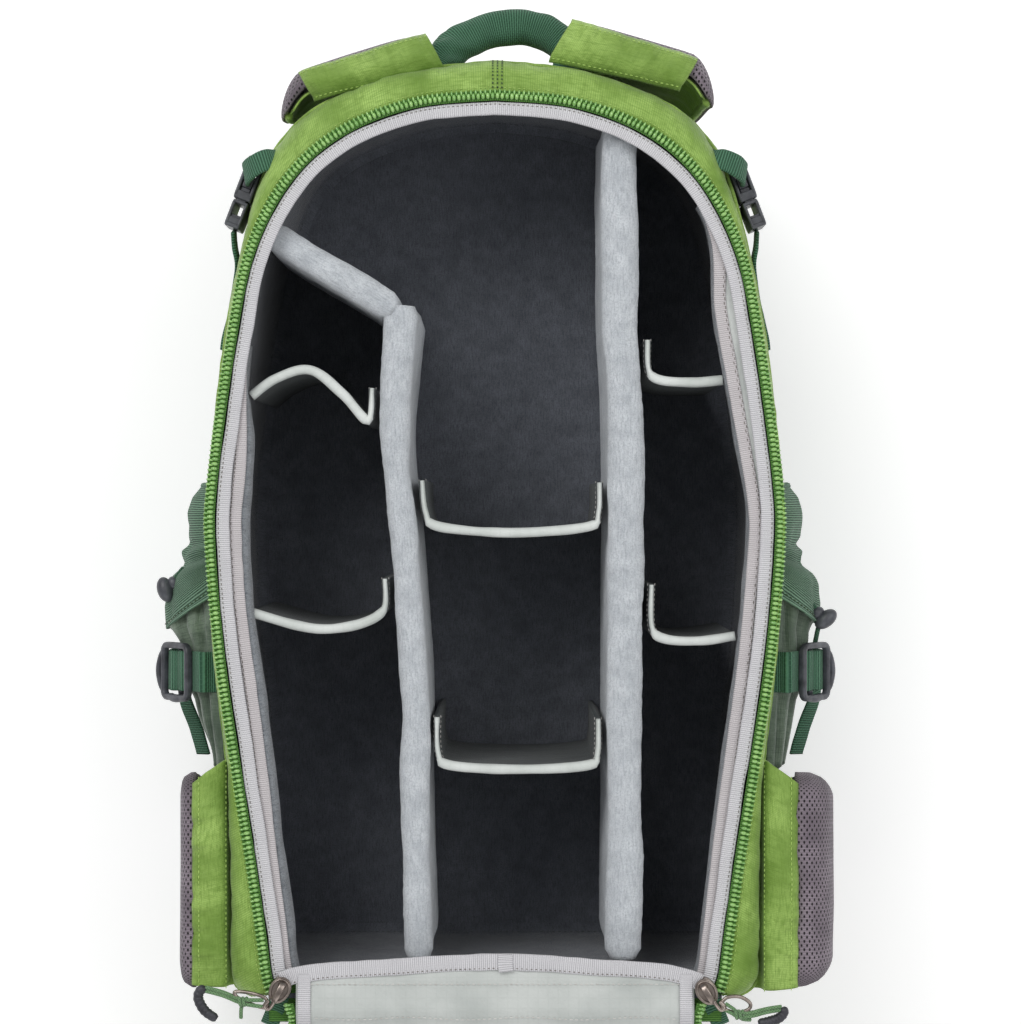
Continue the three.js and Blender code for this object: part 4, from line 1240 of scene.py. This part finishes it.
def build_hip_wing(name, side):
    """The padded wing, folded down along the bag's side. The left one lies flatter against it."""
    body = f"hip_wing_{name}"
    profile = spline(WING_PROFILE, 60)
    from_end = np.minimum(np.arange(60), np.arange(60)[::-1])
    round_off = np.sqrt(1 - (1 - np.clip(from_end / 4, 0, 1)) ** 2).clip(0.15)
    reach = 1 if side > 0 else 0.34 + 0.51 * np.clip((150 - profile[:, 1]) / 80, 0, 1)
    rows = []
    for h in np.linspace(WING_LOW, WING_HIGH, 54):
        near = min(h - WING_LOW, WING_HIGH - h)
        drawn = 1 - 0.5 * (1 - min(near / 13, 1)) ** 2
        thick = WING_HALF * math.sqrt(max(1 - (1 - min(near / 4, 1)) ** 2, 0.05))
        line = np.column_stack([WING_X + (profile[:, 0] - WING_X) * drawn * reach,
                                WING_Z - (WING_Z - profile[:, 1]) * drawn**0.5])
        out = shifted(line, -thick * round_off) - line
        ring = np.vstack([line + out, (line - out)[::-1]])
        height = h - 0.13 * (WING_Z - ring[:, 1]) * (h - WING_LOW) / (WING_HIGH - WING_LOW)
        rows.append(np.column_stack([side * ring[:, 0], height, ring[:, 1]]))
    pad = lofted(f"hip_wing_mesh_{name}", "mesh", body, soften(rows, 0.5, 24, 170 + side),
                 replaces=[f"hip_wing_{name}"], wrap=True, caps=True)
    build_wing_strip(name, side, body)
    tongue = spline([(side * 165, 64, z) for z in (64, 56, 50, 44, 41)], 20)
    swept(f"hip_belt_webbing_{name}", "webbing", body, tongue, flat_section(20, 2), up=(1, 0, 0))


def build_wing_strip(name, side, body):
    """The green strip along the wing's root, puckered by its two seams."""
    rows = []
    for x, z in spline(WING_STRIP, 28):
        share = (x - 133) / 17
        low = (7.5 if side > 0 else 9.2) + 1.5 * share
        high = 122 - 11 * max(share, 0) ** 1.2
        line = np.linspace(low, high, 26)
        rows.append(resample(np.column_stack([np.full(26, side * x), line, np.full(26, z)]), 90))
    rows = np.array(rows)
    edge = bump_at(np.abs(rows[..., 0]), 149, 8)
    rows[..., 2] += 2.2 * edge * smooth_noise(rows, (40, 4.5, 40), 180 + side)
    rows[..., 2] += 1.2 * smooth_noise(rows, (9, 17, 17), 182 + side)
    lofted(f"hip_wing_strip_{name}", "strap_green", body, facing(rows, UP), thick=1.5)
    outer = np.argmin(np.abs(np.abs(rows[:, 0, 0]) - 147.2) + (np.arange(28) > 21) * FAR)
    runs = [(rows[row] + [0, 0, 0.4], UP) for row in (outer, 9)]
    stitches(f"hip_wing_stitching_{name}", "green_thread", body, runs, 2.5, 1.8, 0.55)


# How far the pocket stands out (x) by height, and its deep folds: place and width as shares of its girth
POCKET_REACH = [
    (112, 139), (117, 147.5), (130, 150), (150, 153.5), (158, 157), (168, 157), (178, 160), (190, 163),
    (200, 165.5), (210, 166), (215, 164), (222, 157.5), (226, 155.5), (232, 154.5), (245, 155.5),
    (252, 153), (258, 148),
]
POCKET_VALLEYS = [(0.07, 0.014), (0.15, 0.02), (0.235, 0.014), (0.33, 0.024), (0.5, 0.03), (0.68, 0.03),
                  (0.85, 0.02)]
# The cuff's grooves (inwards) and ridges (outwards) by height: amount, height and width
CUFF_RIBS = [(-2.6, 221, 2.4), (-1.4, 229, 2.0), (0.9, 216, 3), (1.0, 225, 2)]
SIDE_WALL_X = 135


def pocket_rows(side, heights):
    """Rows of the pocket's outer side, each from the rear edge round to the front."""
    rows = []
    for b in heights:
        reach = np.interp(b, *np.transpose(POCKET_REACH)) - side * 1.5 * bump_at(b, 205, 30)
        reach -= (4 if side < 0 else 0) * bump_at(b, 122, 14)
        span = reach - 136
        line = spline([(136, 188), (136 + span * 0.45, 185), (136 + span * 0.86, 174), (reach, 158),
                       (reach, 82), (reach - 9, 58), (137, 52.5)], 128)
        h = b - 0.8 * bump_at(b, 206, 17) * np.clip(line[:, 0] - 150, -8, 30)
        rows.append(np.column_stack([side * line[:, 0], h, line[:, 1]]))
    return facing(rows, (side, 0, 0))


def off_wall(rows, side):
    """Keeps rows of points from going into the bag's side."""
    rows[..., 0] = side * np.maximum(np.abs(rows[..., 0]), SIDE_WALL_X)
    return rows


def build_side_pocket(name, side):
    """The nylon pocket with its deep folds, and the ribbed stretch cuff round its mouth."""
    rows = pocket_rows(side, np.concatenate([[112, 113.5, 115], np.linspace(117, 150, 18),
                                             np.linspace(152, 201, 34)]))
    h = rows[..., 1]
    share = np.abs(np.linspace(0, 1, 128) - (rows[0, 0, 2] < rows[0, -1, 2]))
    wander = 0.02 * smooth_noise(rows, (60, 30, 60), 191 + side)
    folds = sum(bump_at(share + wander, *valley) for valley in POCKET_VALLEYS)
    folds = np.clip(folds * (1 - 0.75 * bump_at(h, 165, 12)), 0, 1)
    cross = smooth_noise(rows, (40, 11, 22), 192 + side) * bump_at(h, 188, 12)
    rows = off_wall(rows + normals_of(rows) * (2.4 * cross - 4.6 * folds)[..., None], side)
    lofted(f"side_pocket_bag_{name}", "olive", "bag_body", rows,
           replaces=[f"side_pocket_{name}"], thick=1.0)
    heights = np.linspace(197.5, 258, 60)
    cuff = pocket_rows(side, heights)
    normals = normals_of(cuff)
    b = np.broadcast_to(heights[:, None], cuff.shape[:2])
    move = 1.6 + sum(amount * bump_at(b, centre, width) for amount, centre, width in CUFF_RIBS)
    move = move + 2.4 * smooth_noise(cuff, (200, 9, 8), 196 + side) * bump_at(b, 231, 15)
    move = move + 1.3 * bump_at(b, 198, 1.4) - 1.6 * bump_at(cuff[..., 2], 172, 4) * bump_at(b, 210, 12)
    cuff = off_wall(cuff + normals * move[..., None], side)
    lofted(f"side_pocket_cuff_{name}", "cuff", "bag_body", cuff, thick=2.0)
    swept(f"side_pocket_cuff_edge_{name}", "cuff", "bag_body", cuff[-1] - normals[-1] * 0.8,
          round_section(1.8, 8), rough=0.3, grain=5)
    seam = [(cuff[3] + normals[3] * 0.3, normals[3])]
    stitches(f"side_pocket_stitching_{name}", "dark_thread", "bag_body", seam, 2.6, 1.8, 0.6)


LOCK_START = np.array([151.7, 182.3])
LOCK_ALONG = np.array([0.611, -0.791])
LOCK_OUT = np.array([0.791, 0.611])
LOCK_RUN = [(-9, 0.4), (-4, 0.2), (0, -0.6), (4.5, 0.4), (8.5, 1.9), (12.6, 0.7), (13.4, 0.7), (17.5, 1.9),
            (21.5, 0.6), (25, -0.8)]
STRAP_DOWN = [(165.5, 155), (162.5, 146), (161.5, 120), (161, 88), (157, 62), (148, 52.6), (140, 51.6)]


def on_lock(side, points):
    """Lock coordinates (s down its slope, h, w out of it) in the bag's."""
    s, h, w = np.moveaxis(np.asarray(points, float), -1, 0)
    flat = LOCK_START + s[..., None] * LOCK_ALONG + w[..., None] * LOCK_OUT
    return np.stack([side * flat[..., 0], h, flat[..., 1]], -1)


def build_lower_strap(name, side):
    """The strap over the pocket, threaded through its ladder lock, with the lock's loose tail."""
    centre = 165
    out = on_lock(side, (0, 0, 1)) - on_lock(side, (0, 0, 0))
    root, down = (mirrored([(x, centre, z) for x, z in keys], side)
                  for keys in ([(139.5, 187.3), (143, 187.6)], STRAP_DOWN))
    threaded = on_lock(side, [(s, centre, w) for s, w in LOCK_RUN])
    path = spline(np.vstack([root, threaded, down]), 150)
    up = np.cross(frames_along(path, (0, 1, 0))[0], [0, -side, 0])
    swept(f"lower_strap_band_{name}", "webbing", "bag_body", path, flat_section(20.5, 1.8),
          replaces=[f"lower_strap_{name}"], up=up, rough=0.25, seed=13, grain=6)
    body = f"ladder_lock_{name}"
    ring = on_lock(side, [(13.5 + u, 164.5 + v, 2.3) for u, v in rounded_rectangle(11.6, 13.2, 3.6)])
    lock = closed_sweep(f"ladder_lock_frame_{name}", ring, flat_section(3.2, 3.8, 1.1), up=out)
    dress(lock, "plastic", body, replaces=[body])
    bar = on_lock(side, [(13.2, h, -0.6) for h in np.linspace(152.5, 176.5, 10)])
    bow = on_lock(side, [(24.5, 176, 2), (27, 172, 3.4), (28.2, 164.5, 4.2), (27, 157, 3.4),
                         (24.5, 153, 2)])
    lip = on_lock(side, [(6, 151.6, 1.6), (13, 150.6, 2.4), (20, 151.6, 1.8)])
    for part, line, section in (("bar", bar, (4, 2, 0.8)), ("bow", spline(bow, 26), (2.6, 2.2, 0.9)),
                                ("lip", spline(lip, 16), (3.4, 4.6, 1.5))):
        swept(f"ladder_lock_{part}_{name}", "plastic", body, line, flat_section(*section), up=out)
    tuck = 2 if side > 0 else 6
    tail = mirrored([(166, 158, 156), (165.5, 148, 151), (161, 134, 146), (157.5, 120, 142)], side)
    swept(f"lower_strap_tail_{name}", "webbing", "bag_body", spline(tail - [side * tuck, 0, 0], 40),
          flat_section(9, 1.6), up=(side * 0.6, 0.2, 0.8), rough=0.3, seed=16)


TOGGLES = {"left": (206, 15), "right": (191, -51)}  # height and lean


def build_toggle(name, side):
    """The cuff's cord with its toggle."""
    height, lean = TOGGLES[name]
    body = f"cuff_toggle_{name}"
    cos, sin = math.cos(math.radians(lean)), math.sin(math.radians(lean))
    axes = np.array([[[cos, sin, 0], [-sin, cos, 0], [0, 0, 1]]])
    shell = scatter(f"cuff_toggle_shell_{name}", ball(28, 18), [(side * 167.5, height, 172)], axes,
                    (4.1, 6.5, 4.2))
    dress(shell, "plastic", body, replaces=[body])
    button = scatter(f"cuff_toggle_button_{name}", ball(20, 12), [(side * 163.4, height + 3.2, 171.6)],
                     axes, (3.0, 3.6, 3.0))
    dress(button, "plastic", body)
    cord = [(158, height + 11, 172), (162, height + 6, 172), (165, height + 1, 171.5),
            (163.5, height - 6, 170), (162.5, height - 13, 167)]
    swept(f"cuff_cord_{name}", "cord_dark", "bag_body", spline(mirrored(cord, side), 40),
          round_section(1.3, 10), rough=0.1)


BUCKLE_TURN = math.radians(21)
BUCKLE_RISE = 3.5


def on_buckle(side, points):
    """Buckle coordinates (u out of the bag, v up its side, z) in the bag's."""
    u, v, z = np.moveaxis(np.asarray(points, float), -1, 0)
    v = v + BUCKLE_RISE
    cos, sin = math.cos(BUCKLE_TURN), math.sin(BUCKLE_TURN)
    return np.stack([side * (121 + u * cos - v * sin), 395 + u * sin + v * cos, z], -1)


def block(u0, v0, u1, v1, low, high):
    """A rectangular plate for prism."""
    return [(u0, v0), (u1, v0), (u1, v1), (u0, v1)], low, high


SIDE_STRAP_RUN = [(131.8, 387, 180), (131.4, 379, 178), (130.4, 370, 176), (131.6, 358, 175),
                  (134, 345, 175), (136.8, 333, 175), (137.6, 327, 175)]
BUCKLE_TAB = [(106.5, 421.5, 197.5), (111, 420.5, 200.4), (116, 419, 201), (121, 416.5, 199),
              (124, 414.5, 194.5), (124.6, 413.5, 189)]


def build_upper_buckle(name, side):
    """A side-release buckle: a sleeve on its tab and a plug on the strap that runs down to the pocket."""
    def flat(points):
        return on_buckle(side, points)

    def upright(points):
        v, z, u = points.T
        return on_buckle(side, np.column_stack([u, v, z]))

    plate = rounded_rectangle(11.3, 12.4, 3.2) + [11.7, 177.5]
    sleeve = prism(f"buckle_sleeve_{name}", upright, [(plate, 3.4, 5.2), (plate, 10.9, 12.6)])
    dress(sleeve, "plastic", "bag_body", replaces=[f"buckle_socket_{name}"], bevel=0.7)
    walls = [block(3.6, 0.6, 12.4, 5.0, z, z + 2.6) for z in (165.4, 187)]
    walls += [block(3.6, 15.5, 12.4, 22.4, z, z + 3.0) for z in (165.4, 187)]
    walls += [block(5.2, 15.6, 10.9, 17.4, 167, 188), block(4.6, 19.6, 11.4, 22.6, 167, 188)]
    dress(prism(f"buckle_walls_{name}", flat, walls), "plastic", "bag_body", bevel=0.6)
    body = f"buckle_plug_{name}"
    head = rounded_rectangle(7.0, 12, 2.6) + [-7.1, 177.5]
    shell = prism(f"buckle_plug_shell_{name}", upright, [(head, 4.0, 5.6), (head, 10.3, 12.0)])
    dress(shell, "plastic", body, replaces=[body], bevel=0.7)
    blocks = [block(4.2, -1.8, 11.8, -0.2, 166, 189), block(4.2, -14.0, 11.8, -12.0, 166, 189)]
    blocks += [block(4.2, -12.2, 11.8, -8.8, z, z + 2.6) for z in (165.8, 186.6)]
    blocks += [block(5.4, -10.2, 10.6, -7.4, 167, 188)]
    for z in (166.2, 184.6):
        blocks += [block(5.6, -1.0, 10.4, 7.0, z + 0.6, z + 3.4), block(5.6, 7.0, 10.4, 13.6, z, z + 4.2)]
    dress(prism(f"buckle_plug_frame_{name}", flat, blocks), "plastic", body, bevel=0.5)
    band = swept(f"side_strap_band_{name}", "webbing", None, spline(mirrored(SIDE_STRAP_RUN, side), 70),
                 flat_section(1.8, 15), replaces=[f"side_strap_{name}"], rough=0.25, seed=17, grain=8)
    world((side * 133, 345, 176))
    world((side * 131, 380, 178))
    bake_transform(band)
    swept(f"buckle_tab_{name}", "webbing", "bag_body", spline(mirrored(BUCKLE_TAB, side), 36),
          flat_section(11.5, 2.4), up=(side * 0.9, 0, 1), rough=0.35, seed=19, grain=7)


# ---------------------------------------------------------------------------------------------------
# Laptop zip, main zip sliders and pulls
# ---------------------------------------------------------------------------------------------------
def build_laptop_zip():
    line = body_arch[(np.abs(body_arch[:, 0]) < 37) & (body_arch[:, 1] > 300)]
    path = at_z(shifted(line, 0.6), 42.5)
    up = at_z(outward(line), 0)
    swept("laptop_zip_tape", "tape", "bag_body", path, flat_section(21, 1.6, 0.7),
          replaces=["laptop_zipper"], up=up)
    beads("laptop_zip_teeth", "teeth", "bag_body", path + up * 1.2, 2.2, ball(8, 6), (0.85, 2.4, 0.8), up)
    dress(frame["nodes"]["laptop_zip_slider"], "gunmetal", bevel=1.1)
    dress(frame["nodes"]["laptop_zip_pull"], "gunmetal", bevel=0.7)


# Where each main slider stands and how far it is turned, and the lines of its pull
PULLS = {
    "left": {
        "slider": (-105.8, 10.4), "turn": -28, "bail": (-110.8, 3.0),
        "ring": [(-111.5, 4.5), (-113.5, 7.4), (-121, 9.4), (-127.8, 9.6), (-126, 6.6), (-119, 3.6),
                 (-113, 2.2)],
        "cord": [(-113.5, 4.2, 215.4), (-118.5, 4.6, 216), (-123.6, 5.2, 216), (-127, 6.0, 214.6),
                 (-134, 8.4, 212.4), (-142.6, 10.4, 211)],
        "tail": [(-123.6, 5.0, 216), (-124.6, 1.2, 214.8), (-124.9, -3.4, 212.6)],
        "grip": [(-142.4, 10.6), (-145.4, 9.4), (-146, 5.2), (-142.8, -0.4), (-137, -4.4)],
    },
    "right": {
        "slider": (104.0, 9.6), "turn": 32, "bail": (110.4, 2.6),
        "ring": [(111, 4.6), (114, 7.2), (120, 7.4), (125, 4.4), (124.6, 1.2), (118.6, -0.6), (112.4, 1.6)],
        "cord": [(113, 2.6, 215.4), (116.5, 0.6, 216), (119.6, -1.2, 216), (126, -1.4, 213.8),
                 (134, 0.2, 212.2), (141, 1.0, 211)],
        "tail": [(119.4, -1.2, 216), (121.6, -3.6, 214.6), (125.6, -4.4, 212.4)],
        "grip": [(141.4, 1.2), (142.2, -1.2), (139.6, -4.0), (135, -5.6), (129.6, -6.6)],
    },
}
CORD_RADIUS = 0.95


def build_slider(name, _side):
    """A main zip slider: its two plates, rim, neck and bridge, which runs out towards the bail that its
    pull hangs from; the bail is made with the pull.
    """
    facts = PULLS[name]
    body = f"main_slider_{name}"
    turn = math.radians(facts["turn"])
    centre, end = np.array(facts["slider"]), np.array(facts["bail"])
    spin = np.array([[math.cos(turn), -math.sin(turn)], [math.sin(turn), math.cos(turn)]])

    def place(points):
        return at_z(points[:, :2] @ spin.T + centre, points[:, 2])

    def ahead(distance):
        return centre + spin @ [0, distance]

    shield = [((5.2 + 0.5 * math.sin(a)) * math.cos(a), 6.8 * math.sin(a))
              for a in np.linspace(0, 2 * math.pi, 40, endpoint=False)]
    plate = prism(f"main_slider_shield_{name}", place, [(shield, 213.0, 215.2), (shield, 208.9, 210.0)])
    dress(plate, "gunmetal", body, replaces=[body], bevel=0.9)
    rim = place(at_z(np.array(shield) * [0.8, 0.82], 215.3))
    dress(closed_sweep(f"main_slider_rim_{name}", rim, round_section(0.6, 8)), "gunmetal", body)
    neck = scatter(f"main_slider_neck_{name}", ball(18, 12), [(*ahead(3.0), 214.6)], np.eye(3)[None],
                   (2.2, 2.2, 1.8))
    dress(neck, "gunmetal", body)
    start, middle = ahead(4.6), ahead(-0.6)
    bridge = [(*start, 215.2), (*(start * 0.7 + middle * 0.3), 217.4), (*middle, 218.2),
              (*ahead(-4.6), 217.3), (*(centre * 0.35 + end * 0.65), 215.9)]
    swept(f"main_slider_bridge_{name}", "gunmetal", body, spline(bridge, 30), flat_section(3.0, 1.3, 0.5))


def build_pull(name, side):
    """A slider's pull: bail and ring, a doubled and knotted cord, and a moulded grip."""
    facts = PULLS[name]
    body = f"zip_pull_{name}"
    ring = at_z(spline(closed(facts["ring"]), 60), 215.0)
    ring[:, 2] += 0.7 * np.cos(np.linspace(0, 2 * math.pi, 60))
    loop = closed_sweep(f"pull_ring_loop_{name}", ring[:-1], round_section(CORD_RADIUS, 10))
    dress(loop, "gunmetal", body, replaces=[f"pull_ring_{name}"])
    end = np.array(facts["bail"])
    near = np.array(facts["slider"]) * 0.3 + end * 0.7
    bail = [(*(near + [side * 1.6, 0.6]), 216.6), (*(end + [side * 2.2, 0.2]), 216.2),
            (*(end + [side * 0.6, -1.6]), 215.4), (*(end + [-side * 1.4, 0.4]), 216.0),
            (*(near + [-side * 1.2, 1.0]), 216.6)]
    swept(f"main_slider_bail_{name}", "gunmetal", body, spline(bail, 40), round_section(1.0, 10))
    for part, offset in (("front", 0.9), ("back", -0.9)):
        path = spline(facts["cord"], 60) + [0, offset, 0]
        spread = np.clip(1 - arc(path) / 12, 0, 1)[:, None]
        swept(f"pull_cord_{part}_{name}", "cord", body, path + [0, offset * 0.8, 0] * spread,
              round_section(CORD_RADIUS, 10), rough=0.08,
              replaces=[f"pull_cord_{name}"] if part == "front" else ())
    swept(f"pull_cord_tail_{name}", "cord", body, spline(facts["tail"], 24), round_section(CORD_RADIUS, 10))
    turns = np.linspace(0, 4 * math.pi, 60)
    coil = np.column_stack([1.3 * np.linspace(-1.4, 1.4, 60), 1.7 * np.cos(turns), 1.7 * np.sin(turns)])
    swept(f"pull_knot_{name}", "cord", body, facts["cord"][2] + coil, round_section(0.9, 8))
    along = np.linspace(0, 1, 60)
    thick = 1 + 0.1 * np.sin(along * math.pi) - 0.35 * (bump_at(along, 0, 0.04) + bump_at(along, 1, 0.04))
    thick = thick * (1 + 0.05 * np.sin(along * 60) * ((along > 0.15) & (along < 0.85)))
    swept(f"pull_grip_sleeve_{name}", "rubber", body, at_z(spline(facts["grip"], 60), 210.6),
          round_section(2.3, 14), scale=np.column_stack([thick, thick]), replaces=[f"pull_grip_{name}"])


def build_zip_end(name, side):
    """The cloth and webbing tab that close the zip's end at a base corner."""
    u, v = np.meshgrid(np.linspace(88, 112, 16), np.linspace(15, -7, 14))
    z = 206.8 - 0.12 * (15 - v) + 0.3 * smooth_noise(np.dstack([u, v, u]), 8, 210)
    lofted(f"zip_end_cloth_{name}", "tape", "bag_body", facing(np.dstack([side * u, v, z]), UP),
           flat_uv=True, thick=0.8)
    tab = mirrored([(105.5, 9, 206.4), (107.2, 3, 205.4), (109.5, -3, 203.4), (112, -9, 200)], side)
    swept(f"zip_end_tab_{name}", "webbing", "bag_body", spline(tab, 26), flat_section(9, 1.4), rough=0.15)


# ---------------------------------------------------------------------------------------------------
# Camera, floor and light
# ---------------------------------------------------------------------------------------------------
CAMERA_PLACE = (0.0076, 0.0753, 1.510)
FOCAL_LENGTH = 92.77
# name, place and aim in metres, size in metres, power in watts
LIGHTS = [
    ("key_light", (-0.75, 0.95, 1.55), (0, 0, 0.1), (1.3, 0.9), 16),
    ("fill_light", (0.95, 0.35, 1.35), (0, 0, 0.1), (1.2, 1.2), 7.5),
    ("low_light", (0.1, -1.3, 1.1), (0, -0.1, 0.1), (1.6, 0.7), 5),
]


def build_camera():
    data = bpy.data.cameras.new("camera")
    data.lens = FOCAL_LENGTH
    data.sensor_width = 36
    data.clip_end = 50
    camera = bpy.data.objects.new("camera", data)
    camera.location = CAMERA_PLACE
    bpy.context.scene.collection.objects.link(camera)
    bpy.context.scene.camera = camera


def build_floor():
    graph = Graph("pale_floor", "floor", 0.9, specular=0.1)
    light, dark = srgb((252, 252, 252), (244, 244, 245))
    speckle = graph.noise(60, 3)
    look = graph.finish(graph.tint(light, speckle, 0.12, dark), speckle, 0.05)
    graph.set("Emission Color", (1, 1, 1, 1))
    graph.set("Emission Strength", 0.3)
    outline = rounded_rectangle(4, 4, 0.9, 12)
    mesh = bpy.data.meshes.new("studio_floor")
    mesh.from_pydata([(x, y, -0.0006) for x, y in outline], [], [list(range(len(outline)))])
    mesh.materials.append(look["material"])
    floor = bpy.data.objects.new("studio_floor", mesh)
    bpy.context.scene.collection.objects.link(floor)


def build_lights():
    scene = bpy.context.scene
    scene.world = scene.world or bpy.data.worlds.new("studio")
    scene.world.use_nodes = True
    backdrop = scene.world.node_tree.nodes["Background"]
    backdrop.inputs["Color"].default_value = (1, 1, 1, 1)
    backdrop.inputs["Strength"].default_value = 0.40
    for name, place, aim, size, power in LIGHTS:
        data = bpy.data.lights.new(name, "AREA")
        data.shape = "RECTANGLE"
        data.size, data.size_y = size
        data.energy = power
        lamp = bpy.data.objects.new(name, data)
        lamp.location = place
        lamp.rotation_euler = (Vector(aim) - Vector(place)).to_track_quat("-Z", "Y").to_euler()
        scene.collection.objects.link(lamp)
    scene.view_settings.view_transform = "Standard"
    scene.view_settings.look = "None"
    scene.view_settings.exposure = 0.0


for build in (build_camera, build_floor, build_lights, build_side_walls, build_front_pocket, build_base,
              build_gusset, build_zip, build_bindings, build_lining, build_long_dividers,
              build_cross_dividers, build_rear_panel, build_panel_pockets, build_back_pads, build_hinge,
              build_handle, build_laptop_zip):
    build()
for side_name, side_sign in SIDES.items():
    for build in (build_strap_root, build_shoulder_pad, build_strap_hardware, build_hip_wing,
                  build_side_pocket, build_lower_strap, build_toggle, build_upper_buckle, build_slider,
                  build_pull, build_zip_end):
        build(side_name, side_sign)
for hip_part in ("hip_buckle_plug", "hip_buckle_socket"):
    dress(frame["nodes"][hip_part], "plastic", bevel=0.8)
